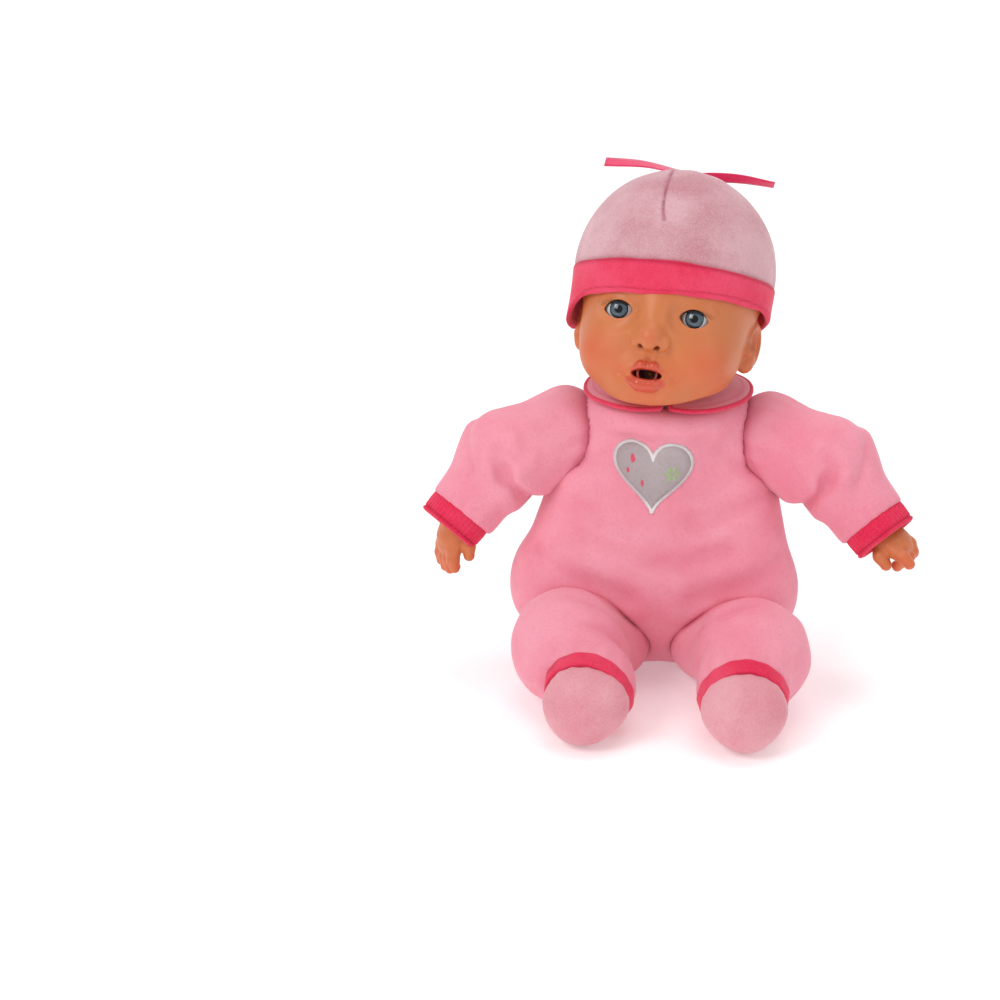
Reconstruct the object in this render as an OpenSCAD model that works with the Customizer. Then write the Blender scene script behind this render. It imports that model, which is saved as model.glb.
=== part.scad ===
// Sitting baby doll with a stuffed body, vinyl head and hands, and a talking module in its back.
// Frame: +Z up, the doll faces -Y and its left side is +X. The origin is the middle of the seat,
// on the surface that the doll sits on.

/* [Head] */
// Radius of the cranium
cranium_r = 51; // [49:0.5:51.5]
// Radius of the face below the cranium
face_r = 41; // [39:0.5:42]
// Radius of each cheek
cheek_r = 30; // [28:0.5:31]
// Vinyl wall of the head and neck
vinyl_wall = 3; // [2.5:0.25:3.25]
// How far the head leans back
head_lean = 18; // [16:1:22]
// How far the head tips to its left
head_tip = 4; // [0:1:6]
// How far the head is turned to its right
head_turned = 8; // [0:1:12]
// Height of the middle of the cranium above the floor
head_z = 225; // [224.5:0.5:228]

/* [Eyes and mouth] */
// Radius of an eyeball
eye_r = 9.5; // [9:0.1:9.6]
// Distance between the eyes' centres
eye_pitch = 40; // [39.5:0.5:43]
// Radius of the mouth, which takes a bottle's teat
mouth_r = 4.5; // [4:0.1:4.7]
// Length of the mouth's straight wall
mouth_len = 10; // [8:0.5:10]

/* [Neck and collar] */
// Outer radius of the neck
neck_r = 22; // [20:0.5:22.5]
// Outer radius of the collar
collar_r = 43; // [38:0.5:43]
// Thickness of the doubled collar
collar_t = 1.8; // [1.4:0.1:2]

/* [Arms] */
// Radius of the sleeve at the shoulder
shoulder_r = 25; // [23:0.5:25.5]
// Radius of the sleeve at the elbow
elbow_r = 26; // [22:0.5:26]
// How far the left arm is held up from the pose of the right one
left_arm_raise = 3; // [0:1:8]
// Radius of the sleeve at the wrist
wrist_r = 17; // [16:0.5:18]
// Radius of the hand's neck in the sleeve
hand_neck_r = 8; // [7:0.25:8.5]

/* [Legs] */
// Radius of the leg at the hip seam
hip_r = 21; // [20:0.5:21]
// Radius of the leg at the knee
knee_r = 29; // [27:0.5:29]
// Radius of the leg at the ankle
ankle_r = 23; // [20:0.5:23]
// Radius of the toe
toe_r = 17; // [14:0.5:17]

/* [Cap] */
// Gap between the cranium and the cap
cap_gap = 0.8; // [0.5:0.1:1]
// Thickness of the cap's cloth
cap_t = 1.8; // [1.4:0.1:2]
// Height of the folded band
band_h = 23; // [18:1:24]

/* [Talking module] */
// Width of the module's case
case_w = 62; // [60:1:62]
// Height of the module's case
case_h = 60; // [58:1:60]
// Wall of the case
case_wall = 2; // [1.6:0.1:2]
// Radius of the tummy button
button_r = 9; // [7:0.5:9]
// Radius of the speaker
speaker_r = 14; // [12:0.5:14]
// Radius of a battery
battery_r = 5.25; // [5:0.05:5.25]
// Length of a battery
battery_len = 44.5; // [43:0.5:44.5]

/* [Cloth] */
// Thickness of the suit's cloth with its seam allowances
cloth_t = 2; // [1.5:0.1:2]
// Gap between the suit and the stuffing
stuffing_gap = 0.3; // [0.2:0.05:0.4]

/* [Hidden] */

LEFT = 1;
RIGHT = -1;
BIG = 200;
SOFT_FN = 20;
HARD_FN = 96;
SMALL_FN = 48;

skin = [0.87, 0.58, 0.40];
light_pink = [0.94, 0.60, 0.68];
hot_pink = [0.90, 0.18, 0.38];
wadding = [0.96, 0.95, 0.92];
case_white = [0.93, 0.92, 0.90];

// Head frame: the origin is the middle of the cranium, the face looks along -Y.
head_c = [2, 5, head_z];
head_floor = 168;
face_c = [0, -12, -32];
cheek_c = [16, -16, -42];
nose_c = [0, -52, -38];
nose_r = 8;
lips_c = [0, -41, -57];
lips_r = 9;
ear_c = [45.8, 2, -34];
ear_r = 12.5;
ear_t = 7;
eye_c = [eye_pitch / 2, -36, -26];
lid_t = 0.45;
lid_gap = 0.05;
eye_case_in = eye_r + 0.9;
eye_case_out = eye_case_in + 1.2;
axle_r = 1;
axle_half = eye_case_out + 0.1;
weight_arm = 14;
weight_lean = 37;
mouth_front = -48;
mouth_back = mouth_front + mouth_len;
mouth_z = lips_c[2];

// Neck, in the doll's frame, about the Z axis
neck_low = 150;
nod_z = 156;
neck_bore_r = 29.6;
neck_bore_low = 142;
collar_low = 159.6;

// Stuffed body, as rounded lumps [x, y, z, radius] that one skin is stretched over
torso_lumps = [
    [30, 4, 134, 24], [0, -8, 128, 30], [22, -2, 70, 36], [26, 2, 30, 37]
];
// The hips, which aren't alike because the doll sits a little turned
hip_lumps = [[40, -10, 50, 33], [-50, -10, 50, 33]];
shoulder = [56, 2, 133];
elbow = [88, -12, 121];
wrist = [108, -24, 97];
hip_in = [30, -30, 22];
hip_out = [52, -30, 22];
knees = [[50, -64, 31], [48, -62, 31]];
ankles = [[46, -95, 24], [34, -95, 24]];
toes = [[48, -117, 18], [38, -117, 18]];
socket_gap = 0.6;
arm_down = 8;
seat_step_y = -7;
lap_y = -28.5;
lap_z = 55;

// Talking module, in the doll's frame
case_front_y = -11;
case_split_y = 6;
case_back_y = 27;
case_low = 55;
case_mid_z = case_low + case_h / 2;
door_w = 48;
door_h = 40;
door_t = 2;
door_low = 61;
door_mid_z = door_low + door_h / 2;
battery_pitch = 12;
speaker_z = case_low + 2 + speaker_r;
button_z = case_low + case_h - 4 - button_r;
button_travel = 2.5;
switch_z = 107;
switch_travel = 5;
window_w = 54;
window_low = 58;
window_high = 114;
screw_r = 1.2;
screw_hole_r = 1.3;
boss_r = 3.2;

// Cap, in the head frame
cap_in = cranium_r + cap_gap;
cap_out = cap_in + cap_t;
bow_back = 22;
band_low_tilt = 11;
band_low = -27;
band_top_tilt = 7;
band_fold = 0.8;

// ---------- helpers ----------

module at_ball(b, inset = 0) translate([b[0], b[1], b[2]]) sphere(r = b[3] - inset, $fn = SOFT_FN);

module both() for (s = [LEFT, RIGHT]) scale_x(s) children();

module scale_x(s) if (s == LEFT) children(); else mirror([1, 0, 0]) children();

// A skin stretched over two lumps, given as points and radii
module stretch(a, ra, b, rb, fn = SOFT_FN) hull() {
    translate(a) sphere(r = ra, $fn = fn);
    translate(b) sphere(r = rb, $fn = fn);
}

// Puts +Z along the line from a to b, with the origin at a
module along(a, b) {
    d = b - a;
    translate(a) rotate([0, acos(d[2] / norm(d)), atan2(d[1], d[0])]) children();
}

module in_head() translate(head_c) rotate([-head_lean, head_tip, -head_turned]) children();

module tube(r_out, r_in, h, fn = HARD_FN) difference() {
    cylinder(r = r_out, h = h, $fn = fn);
    translate([0, 0, -1]) cylinder(r = r_in, h = h + 2, $fn = fn);
}

module along_y(y0, y1, r, fn = SMALL_FN) translate([0, y0, 0]) rotate([-90, 0, 0])
    cylinder(r = r, h = y1 - y0, $fn = fn);

module block(low, high) translate(low) cube(high - low);

// ---------- torso ----------

module torso_mass(inset) hull() {
    both() for (b = torso_lumps) at_ball(b, inset);
    for (b = hip_lumps) at_ball(b, inset);
}

// What the limbs, the neck and the seat's front edge take out of the torso
module torso_cuts() {
    both() {
        translate(shoulder) sphere(r = shoulder_r + socket_gap, $fn = HARD_FN);
        translate(shoulder) rotate([0, arm_down / 2, 0]) along([0, 0, 0], elbow - shoulder)
            translate([0, 0, 4]) cylinder(r = elbow_r + 2, h = 60, $fn = HARD_FN);
    }
    translate([-BIG / 2, hip_in[1], hip_in[2]]) rotate([0, 90, 0])
        cylinder(r = hip_r + socket_gap + 0.2, h = BIG, $fn = HARD_FN);
    block([-BIG / 2, -BIG / 2, -1], [BIG / 2, seat_step_y, hip_in[2]]);
    block([-BIG / 2, -BIG / 2, -1], [BIG / 2, lap_y, lap_z]);
    translate([0, 0, neck_bore_low]) cylinder(r = neck_bore_r, h = BIG, $fn = HARD_FN);
}

module romper_torso() color(light_pink) difference() {
    torso_mass(0);
    difference() {
        torso_mass(cloth_t);
        block([-BIG / 2, -BIG / 2, -BIG / 4], [BIG / 2, BIG / 2, cloth_t]);
    }
    block([-BIG / 2, -BIG / 2, -BIG / 4], [BIG / 2, BIG / 2, 0]);
    torso_cuts();
    block([-window_w / 2, 0, window_low], [window_w / 2, BIG / 2, window_high]);
}

module torso_filling() color(wadding) difference() {
    torso_mass(cloth_t + stuffing_gap);
    block([-BIG / 2, -BIG / 2, -BIG / 4], [BIG / 2, BIG / 2, cloth_t + stuffing_gap]);
    torso_cuts();
    block([-case_w / 2 - 1, case_front_y - 1, case_low - 1],
        [case_w / 2 + 1, BIG / 2, case_low + case_h + 1]);
    translate([0, 0, button_z]) along_y(case_front_y - 9, case_front_y, button_r + 2);
    translate([0, 4, case_low + case_h]) cylinder(r = 3, h = 40, $fn = SMALL_FN);
}

module collar_half(s) color(light_pink) scale_x(s) translate([0, 0, collar_low])
    rotate([0, 0, -85]) rotate_extrude(angle = 172, $fn = HARD_FN)
        translate([neck_bore_r + 1, 0]) square([collar_r - neck_bore_r - 1, collar_t]);

module collar_piping(s) color(hot_pink) scale_x(s) translate([0, 0, collar_low + collar_t / 2])
    rotate([0, 0, -85]) rotate_extrude(angle = 172, $fn = HARD_FN)
        translate([collar_r + 1, 0]) circle(r = 0.95, $fn = SMALL_FN);

// Felt heart sewn to the chest
module chest_patch() {
    side = 26;
    patch_t = 1.2;
    color([0.66, 0.62, 0.62]) translate([-6, torso_lumps[1][1] - torso_lumps[1][3] - 2.1, 104])
        rotate([90, 0, 0]) linear_extrude(patch_t) rotate([0, 0, 45]) {
            square(side);
            translate([side / 2, side]) circle(r = side / 2, $fn = SMALL_FN);
            translate([side, side / 2]) circle(r = side / 2, $fn = SMALL_FN);
        }
}

// ---------- talking module ----------

module case_box(y0, y1, inset) block([-case_w / 2 + inset, y0, case_low + inset],
    [case_w / 2 - inset, y1, case_low + case_h - inset]);

module at_case_corners() for (x = [-1, 1], z = [-1, 1])
    translate([x * (case_w / 2 - 3.6), 0, case_mid_z + z * (case_h / 2 - 3.6)]) children();

module case_front() color(case_white) difference() {
    union() {
        difference() {
            case_box(case_front_y, case_split_y, 0);
            case_box(case_front_y + case_wall, case_split_y + 1, case_wall);
        }
        at_case_corners() along_y(case_front_y + 1, case_split_y, boss_r);
    }
    at_case_corners() along_y(case_split_y - 8, case_split_y + 1, screw_hole_r);
    translate([0, 0, button_z]) along_y(case_front_y - 1, case_front_y + 4, button_r + 0.3);
    for (ring = [0 : 2], k = [0 : 5]) rotate_hole(ring * 4.2, k * 60);
}

// One sound hole of the speaker grille
module rotate_hole(r, a) translate([r * cos(a), 0, speaker_z + r * sin(a)])
    along_y(case_front_y - 1, case_front_y + 4, 1.1, 24);

module case_back() color(case_white) difference() {
    union() {
        difference() {
            case_box(case_split_y, case_back_y, 0);
            case_box(case_split_y - 1, case_back_y - 14.8, case_wall);
        }
        at_case_corners() along_y(case_split_y, case_back_y - 6, boss_r);
    }
    // battery bay, then the seat of its door
    block([-battery_len / 2 - 1, case_back_y - 12.8, door_low + 1.5],
        [battery_len / 2 + 1, case_back_y + 1, door_low + door_h - 3.5]);
    block([-door_w / 2 - 0.3, case_back_y - door_t, door_low - 0.3],
        [door_w / 2 + 0.3, case_back_y + 1, door_low + door_h + 0.3]);
    at_case_corners() along_y(case_split_y - 1, case_back_y + 1, screw_hole_r);
    at_case_corners() along_y(case_back_y - 4, case_back_y + 1, 2.6);
    translate([0, 0, door_low + door_h - 2]) along_y(case_back_y - 8, case_back_y, screw_hole_r);
    // slot of the power switch
    block([-5.5, case_back_y - 16, switch_z - 1.6], [5.5, case_back_y + 1, switch_z + 1.6]);
}

module circuit_board() color([0.10, 0.42, 0.22]) difference() {
    block([-26, case_split_y - 1, case_low + 7], [26, case_split_y + 0.6, case_low + case_h - 7]);
    translate([0, 0, speaker_z]) along_y(case_split_y - 2, case_split_y + 2, 7);
}

module speaker() color([0.16, 0.16, 0.17]) translate([0, 0, speaker_z]) {
    rim_y = case_front_y + case_wall;
    difference() {
        along_y(rim_y, rim_y + 3, speaker_r - 0.5);
        along_y(rim_y - 1, rim_y + 2, speaker_r - 2.5);
    }
    along_y(rim_y + 3, rim_y + 7.5, 6.5);
}

module batteries() color([0.22, 0.34, 0.30]) for (k = [-1 : 1])
    translate([-battery_len / 2 + 0.8, case_back_y - 7.4, door_low + 19 + k * battery_pitch])
        rotate([0, 90, 0]) {
            cylinder(r = battery_r, h = battery_len - 1.6, $fn = SMALL_FN);
            translate([0, 0, battery_len - 1.6]) cylinder(r = 1.8, h = 0.8, $fn = SMALL_FN);
        }

module battery_contacts() color("silver") for (s = [LEFT, RIGHT], k = [-1 : 1])
    scale_x(s) translate([battery_len / 2 + 0.3, case_back_y - 11.4, door_low + 19 + k * battery_pitch - 4])
        cube([0.6, 8, 8]);

module case_screws() color("silver") at_case_corners() {
    along_y(case_split_y - 6, case_back_y - 4, screw_r, 32);
    along_y(case_back_y - 4, case_back_y - 2.4, 2.3, 32);
}

// Lead from the module to the mouth's switch, straight up the hollow neck
module sensor_lead() color("firebrick") translate([0, 4, case_low + case_h + 0.2])
    cylinder(r = 1.2, h = 60, $fn = 32);

module belly_button() color(hot_pink) translate([0, 0, button_z]) {
    along_y(case_front_y - 4, case_front_y + 2.4, button_r);
    along_y(case_front_y + 2.4, case_front_y + 4, button_r + 1.2);
    along_y(case_front_y + 4, case_front_y + 9, 2.4);
}

module belly_button_spring() color("silver") translate([0, 0, button_z]) difference() {
    along_y(case_front_y + 4.2, case_split_y - 1.2, 5);
    along_y(case_front_y, case_split_y, 4.2);
}

module battery_door() color(case_white) difference() {
    block([-door_w / 2, case_back_y - door_t + 0.1, door_low],
        [door_w / 2, case_back_y + 0.1, door_low + door_h]);
    for (k = [0 : 4]) block([-10, case_back_y - 0.6, door_low + 4 + k * 2.4],
        [10, case_back_y + 1, door_low + 5.2 + k * 2.4]);
    translate([0, 0, door_low + door_h - 2]) along_y(case_back_y - 5, case_back_y + 1, screw_hole_r);
}

module battery_door_screw() color("silver") translate([0, 0, door_low + door_h - 2]) {
    along_y(case_back_y - 7, case_back_y + 0.15, screw_r, 32);
    along_y(case_back_y + 0.15, case_back_y + 1.4, 2.4, 32);
}

module power_switch_knob() color([0.15, 0.15, 0.16])
    block([-5.2, case_back_y - 3, switch_z - 1.5], [-0.2, case_back_y + 1.8, switch_z + 1.5]);

// ---------- neck and head ----------

module neck_casing() color(light_pink) translate([0, 0, neck_low + 1])
    tube(neck_r + 2.6, neck_r + 0.3, 15);

module neck_tie() color("white") translate([0, 0, nod_z]) {
    tube(neck_r + 4.4, neck_r + 2.7, 4);
    block([-2.5, neck_r + 4.2, 0], [2.5, neck_r + 6.4, 4]);
}

module head_mass(inset) {
    sphere(r = cranium_r - inset, $fn = HARD_FN);
    translate(face_c) sphere(r = face_r - inset, $fn = HARD_FN);
    both() translate(cheek_c) sphere(r = cheek_r - inset, $fn = HARD_FN);
}

module head_features() {
    translate(nose_c) sphere(r = nose_r, $fn = SMALL_FN);
    translate(lips_c) sphere(r = lips_r, $fn = SMALL_FN);
    both() translate(ear_c) rotate([0, 90, 0])
        cylinder(r = ear_r, h = ear_t, center = true, $fn = SMALL_FN);
}

module below(z) block([-BIG, -BIG, z - BIG], [BIG, BIG, z]);

module head_shell() color(skin) difference() {
    union() {
        difference() {
            in_head() {
                head_mass(0);
                head_features();
            }
            below(head_floor);
        }
        translate([0, 0, neck_low]) cylinder(r = neck_r, h = head_floor + 6 - neck_low, $fn = HARD_FN);
    }
    difference() {
        in_head() head_mass(vinyl_wall);
        below(head_floor + vinyl_wall);
    }
    translate([0, 0, neck_low - 1])
        cylinder(r = neck_r - vinyl_wall, h = head_floor + 8 - neck_low, $fn = HARD_FN);
    in_head() {
        both() translate(eye_c) {
            sphere(r = eye_case_out + 0.3, $fn = HARD_FN);
            along_y(-40, 0, 7.2);
        }
        translate([0, 0, mouth_z]) along_y(-BIG / 2, -28, mouth_r + 1.2);
    }
}

module neck_plug() color(case_white) translate([0, 0, neck_low + 1])
    tube(neck_r - vinyl_wall - 0.1, 7, 3);

module eye_case(s) color("white") in_head() scale_x(s) translate(eye_c) difference() {
    sphere(r = eye_case_out, $fn = HARD_FN);
    sphere(r = eye_case_in, $fn = HARD_FN);
    block([-20, -20, -20], [20, -2.5, 20]);
    block([-6.5, -20, -20], [6.5, 20, 5]);
    rotate([0, 90, 0]) cylinder(r = axle_r + 0.05, h = 40, center = true, $fn = 32);
}

module eyeball(s) color([0.95, 0.95, 0.96]) in_head() scale_x(s) translate(eye_c) {
    sphere(r = eye_r, $fn = HARD_FN);
    rotate([0, 90, 0]) cylinder(r = axle_r, h = 2 * axle_half, center = true, $fn = 32);
}

// Lid moulded on the top of the eyeball: it comes down over the iris when the eyeball turns
module eyelid(s) color(skin) in_head() scale_x(s) translate(eye_c) difference() {
    rotate([0, 90, 0]) sphere(r = eye_r + lid_gap + lid_t, $fn = HARD_FN);
    rotate([0, 90, 0]) sphere(r = eye_r + lid_gap, $fn = HARD_FN);
    rotate([-35, 0, 0]) block([-20, -20, -40], [20, 20, 0]);
    rotate([15, 0, 0]) block([-20, 0, -40], [20, 40, 40]);
    for (x = [-1, 1]) translate([x * (eye_r + 6.2), 0, 0]) cube(14, center = true);
}

module eye_weight(s) color("dimgray") in_head() scale_x(s) translate(eye_c)
    rotate([weight_lean, 0, 0]) difference() {
        union() {
            translate([-1.2, -1.2, -weight_arm]) cube([2.4, 2.4, weight_arm]);
            translate([0, 0, -weight_arm - 1.5]) rotate([0, 90, 0])
                cylinder(r = 3.6, h = 9, center = true, $fn = SMALL_FN);
        }
        sphere(r = eye_r + 0.02, $fn = HARD_FN);
    }

module mouth_tube() color([0.62, 0.18, 0.16]) in_head() translate([0, 0, mouth_z]) difference() {
    along_y(mouth_front, mouth_back, mouth_r + 1);
    along_y(mouth_front - 1, mouth_back + 1, mouth_r);
}

module mouth_plunger() color("gold") in_head() translate([0, 0, mouth_z]) {
    along_y(mouth_back + 0.5, mouth_back + 4.5, 3);
    along_y(mouth_back + 4.5, mouth_back + 6, 4.1);
}

module mouth_switch() color([0.20, 0.20, 0.22]) in_head() translate([0, 0, mouth_z]) difference() {
    along_y(mouth_back, mouth_back + 14, mouth_r + 1);
    along_y(mouth_back + 2, mouth_back + 12, 4.2);
    along_y(mouth_back - 1, mouth_back + 3, 3.1);
}

module mouth_spring() color("silver") in_head() translate([0, 0, mouth_z]) difference() {
    along_y(mouth_back + 6.2, mouth_back + 11.8, 3.4);
    along_y(mouth_back + 6, mouth_back + 12, 2.8);
}

// ---------- cap ----------

module cap_space(r) {
    sphere(r = r, $fn = HARD_FN);
    translate([0, 0, -60]) cylinder(r = r, h = 60, $fn = HARD_FN);
}

module below_tilted(z, tilt) translate([0, 0, z]) rotate([-tilt, 0, 0])
    block([-BIG, -BIG, -BIG], [BIG, BIG, 0]);

module cap_crown() color(light_pink) in_head() rotate([-band_top_tilt, 0, 0]) difference() {
    sphere(r = cap_out, $fn = HARD_FN);
    sphere(r = cap_in, $fn = HARD_FN);
    below((band_low + band_h) * cos(band_top_tilt) + 0.02);
}

module cap_band() color(hot_pink) in_head() difference() {
    intersection() {
        cap_space(cap_out + band_fold);
        below_tilted(band_low + band_h, band_top_tilt);
    }
    cap_space(cap_in);
    below_tilted(band_low, band_low_tilt);
}

// One flattened loop of the bow, pointed at both ends
module bow_loop() rotate([-90, 0, 0]) linear_extrude(6) difference() {
    lens(12.2, 9.2);
    lens(11.4, 9.2);
}

module lens(r, d) intersection() {
    translate([0, d]) circle(r = r, $fn = HARD_FN);
    translate([0, -d]) circle(r = r, $fn = HARD_FN);
}

// Ribbon bow sewn to the back of the crown: a knot and two loops, with two tails along the crown
module cap_bow() color(hot_pink) in_head() {
    rotate([-bow_back, 0, 0]) {
        difference() {
            translate([0, 0, cap_out + 1.6]) sphere(r = 3.2, $fn = SMALL_FN);
            sphere(r = cap_out + 0.05, $fn = HARD_FN);
        }
        both() translate([9.4, -3, cap_out + 3.2]) rotate([0, -8, 0]) bow_loop();
    }
    difference() {
        intersection() {
            sphere(r = cap_out + 1.1, $fn = HARD_FN);
            rotate([-bow_back, 0, 0]) both() rotate([0, 0, 35]) block([-3, 0, 0], [3, 26, BIG / 2]);
        }
        sphere(r = cap_out + 0.1, $fn = HARD_FN);
    }
}

// ---------- arms ----------

module arm_frame(s) scale_x(s) translate(shoulder) rotate([0, s == LEFT ? -left_arm_raise : 0, 0])
    translate(-shoulder) children();

module arm_mass(inset) {
    stretch(shoulder, shoulder_r - inset, elbow, elbow_r - inset);
    stretch(elbow, elbow_r - inset, wrist, wrist_r - inset);
}

module from_wrist() along(wrist, 2 * wrist - elbow) children();

module past_wrist(offset) from_wrist() translate([0, 0, offset]) cylinder(r = 40, h = 40, $fn = SMALL_FN);

module sleeve(s) color(light_pink) arm_frame(s) difference() {
    arm_mass(0);
    arm_mass(cloth_t);
    along(shoulder, elbow) translate([0, 0, -60]) cylinder(r = 60, h = 60, $fn = SMALL_FN);
    past_wrist(4);
}

module arm_filling(s) color(wadding) arm_frame(s) difference() {
    arm_mass(cloth_t + stuffing_gap);
    past_wrist(3);
    from_wrist() translate([0, 0, -10]) cylinder(r = hand_neck_r + 0.08, h = 40, $fn = HARD_FN);
}

module cuff(s) color(hot_pink) arm_frame(s) from_wrist() translate([0, 0, 4.1])
    tube(wrist_r + 0.8, wrist_r - 3, 12.5);

module wrist_tie(s) color("white") arm_frame(s) from_wrist() translate([0, 0, 4.6])
    tube(hand_neck_r + 3, hand_neck_r + 0.08, 3.2);

// Hand in the wrist's frame, where +Z runs on from the forearm
// bend drops the hand from that line, and curl folds the fingers
module hand_form(bend, curl, spread) difference() {
    hand_mass(bend, curl, spread);
    // Groove for the wrist tie, and room inside the cuff
    translate([0, 0, 4.3]) tube(14, hand_neck_r - 0.3, 3.8);
    translate([0, 0, -10]) tube(60, wrist_r - 3.5, 27.1);
}

module hand_mass(bend, curl, spread) {
    translate([0, 0, -8]) cylinder(r = hand_neck_r, h = 17, $fn = HARD_FN);
    translate([0, 0, 9]) sphere(r = 9.4, $fn = SMALL_FN);
    translate([0, 0, 9]) rotate([0, bend, 0]) {
        hull() {
            translate([0, 0, 4]) sphere(r = 8.5, $fn = 20);
            for (y = [-1, 1]) translate([0, y * 5.5, 15]) sphere(r = 6, $fn = 20);
        }
        for (k = [0 : 3]) translate([0, (k - 1.5) * 4.8, 18]) rotate([-(k - 1.5) * spread, curl, 0])
            stretch([0, 0, 0], 3.7, [0, 0, k == 0 || k == 3 ? 9 : 11], 3.1, 14);
        translate([4, -7, 8]) rotate([30, 25, 0]) stretch([0, 0, 0], 3.9, [0, 0, 9], 3.3, 14);
    }
}

module left_hand() color(skin) arm_frame(LEFT) from_wrist() hand_form(-16, 75, 3);

module right_hand() color(skin) arm_frame(RIGHT) from_wrist() hand_form(26, 18, 5);

// ---------- legs ----------

function side(s) = s == LEFT ? 0 : 1;

module shin(s, inset) stretch(ankles[side(s)], ankle_r - inset, toes[side(s)], toe_r - inset);

module leg_mass(s, inset) {
    hull() {
        translate(hip_in) sphere(r = hip_r - inset, $fn = SOFT_FN);
        translate(hip_out) sphere(r = hip_r - inset, $fn = SOFT_FN);
        translate(knees[side(s)]) sphere(r = knee_r - inset, $fn = SOFT_FN);
    }
    stretch(knees[side(s)], knee_r - inset, ankles[side(s)], ankle_r - inset);
    shin(s, inset);
}

module ahead_of_ankle(s, offset, r = 60) along(ankles[side(s)], toes[side(s)])
    translate([0, 0, offset]) cylinder(r = r, h = 60, $fn = SMALL_FN);

module behind_ankle(s, offset) along(ankles[side(s)], toes[side(s)]) translate([0, 0, offset - 90])
    cylinder(r = 70, h = 90, $fn = SMALL_FN);

module leg_cover(s) color(light_pink) scale_x(s) difference() {
    leg_mass(s, 0);
    leg_mass(s, cloth_t);
    block([0, hip_in[1], -20], [BIG, BIG, BIG]);
    ahead_of_ankle(s, 4, ankle_r + 1.2);
}

module leg_filling(s) color(wadding) scale_x(s) difference() {
    leg_mass(s, cloth_t + stuffing_gap);
    difference() {
        ahead_of_ankle(s, 3.7);
        shin(s, cloth_t + stuffing_gap - 0.1);
    }
}

module foot_trim(s) color(hot_pink) scale_x(s) difference() {
    shin(s, -0.4);
    shin(s, cloth_t);
    behind_ankle(s, 4.1);
    ahead_of_ankle(s, 9.9);
}

module foot(s) color(light_pink) scale_x(s) difference() {
    shin(s, 0);
    shin(s, cloth_t);
    behind_ankle(s, 10);
}

// ---------- every node ----------

romper_torso();
torso_filling();
collar_half(LEFT);  // left_collar
collar_half(RIGHT);  // right_collar
collar_piping(LEFT);  // left_collar_piping
collar_piping(RIGHT);  // right_collar_piping
chest_patch();
case_front();
case_back();
circuit_board();
speaker();
batteries();
battery_contacts();
case_screws();
sensor_lead();
belly_button_spring();
belly_button();
battery_door();
battery_door_screw();
power_switch_knob();
neck_casing();
neck_tie();
head_shell();
neck_plug();
eye_case(LEFT);  // left_eye_case
eye_case(RIGHT);  // right_eye_case
mouth_tube();
mouth_switch();
mouth_spring();
mouth_plunger();
eyeball(LEFT);  // left_eyeball
eyelid(LEFT);  // left_eyelid
eye_weight(LEFT);  // left_eye_weight
eyeball(RIGHT);  // right_eyeball
eyelid(RIGHT);  // right_eyelid
eye_weight(RIGHT);  // right_eye_weight
cap_crown();
cap_band();
cap_bow();
sleeve(LEFT);  // left_sleeve
cuff(LEFT);  // left_cuff
arm_filling(LEFT);  // left_arm_filling
wrist_tie(LEFT);  // left_wrist_tie
left_hand();
sleeve(RIGHT);  // right_sleeve
cuff(RIGHT);  // right_cuff
arm_filling(RIGHT);  // right_arm_filling
wrist_tie(RIGHT);  // right_wrist_tie
right_hand();
leg_cover(LEFT);  // left_leg_cover
leg_filling(LEFT);  // left_leg_filling
foot_trim(LEFT);  // left_foot_trim
foot(LEFT);  // left_foot
leg_cover(RIGHT);  // right_leg_cover
leg_filling(RIGHT);  // right_leg_filling
foot_trim(RIGHT);  // right_foot_trim
foot(RIGHT);  // right_foot
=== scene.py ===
"""Looks of the sitting baby doll. Modelling is in millimetres in the part's own frame, and every
mesh is written in metres. Soft and vinyl pieces are distance fields meshed by surface nets."""

import math

import bpy
import numpy as np
from mathutils import Matrix, Vector


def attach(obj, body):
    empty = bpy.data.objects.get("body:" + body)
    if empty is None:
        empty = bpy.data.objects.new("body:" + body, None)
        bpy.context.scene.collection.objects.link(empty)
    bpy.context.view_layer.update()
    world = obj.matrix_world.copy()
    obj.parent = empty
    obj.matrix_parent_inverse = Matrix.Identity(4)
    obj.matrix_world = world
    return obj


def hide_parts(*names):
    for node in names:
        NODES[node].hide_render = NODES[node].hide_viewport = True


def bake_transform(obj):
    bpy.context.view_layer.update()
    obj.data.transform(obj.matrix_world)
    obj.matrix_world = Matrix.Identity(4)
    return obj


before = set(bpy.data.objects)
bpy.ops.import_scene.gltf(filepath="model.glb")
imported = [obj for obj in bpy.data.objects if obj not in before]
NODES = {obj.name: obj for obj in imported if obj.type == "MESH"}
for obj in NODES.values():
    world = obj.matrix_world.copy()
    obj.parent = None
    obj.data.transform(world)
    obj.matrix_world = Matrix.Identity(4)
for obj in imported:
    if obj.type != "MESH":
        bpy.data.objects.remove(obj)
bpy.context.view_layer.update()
MM = 0.001


def v3(*c):
    return np.array(c, float)


# ---------- camera ----------
AZ, EL, RANGE = math.radians(6), math.radians(20), 1.283
back = Vector((math.sin(AZ) * math.cos(EL), -math.cos(AZ) * math.cos(EL), math.sin(EL)))
right = Vector((0, 0, 1)).cross(back).normalized()
up = back.cross(right)
aim = Vector((0, -0.020, 0.120)) - 0.0897 * right - 0.0163 * up
cam = bpy.data.objects.new("camera", bpy.data.cameras.new("camera"))
cam.data.lens, cam.data.sensor_width = 85, 36
cam.matrix_world = Matrix.Translation(aim + RANGE * back) @ Matrix((right, up, back)).transposed().to_4x4()
bpy.context.scene.collection.objects.link(cam)
bpy.context.scene.camera = cam


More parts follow.
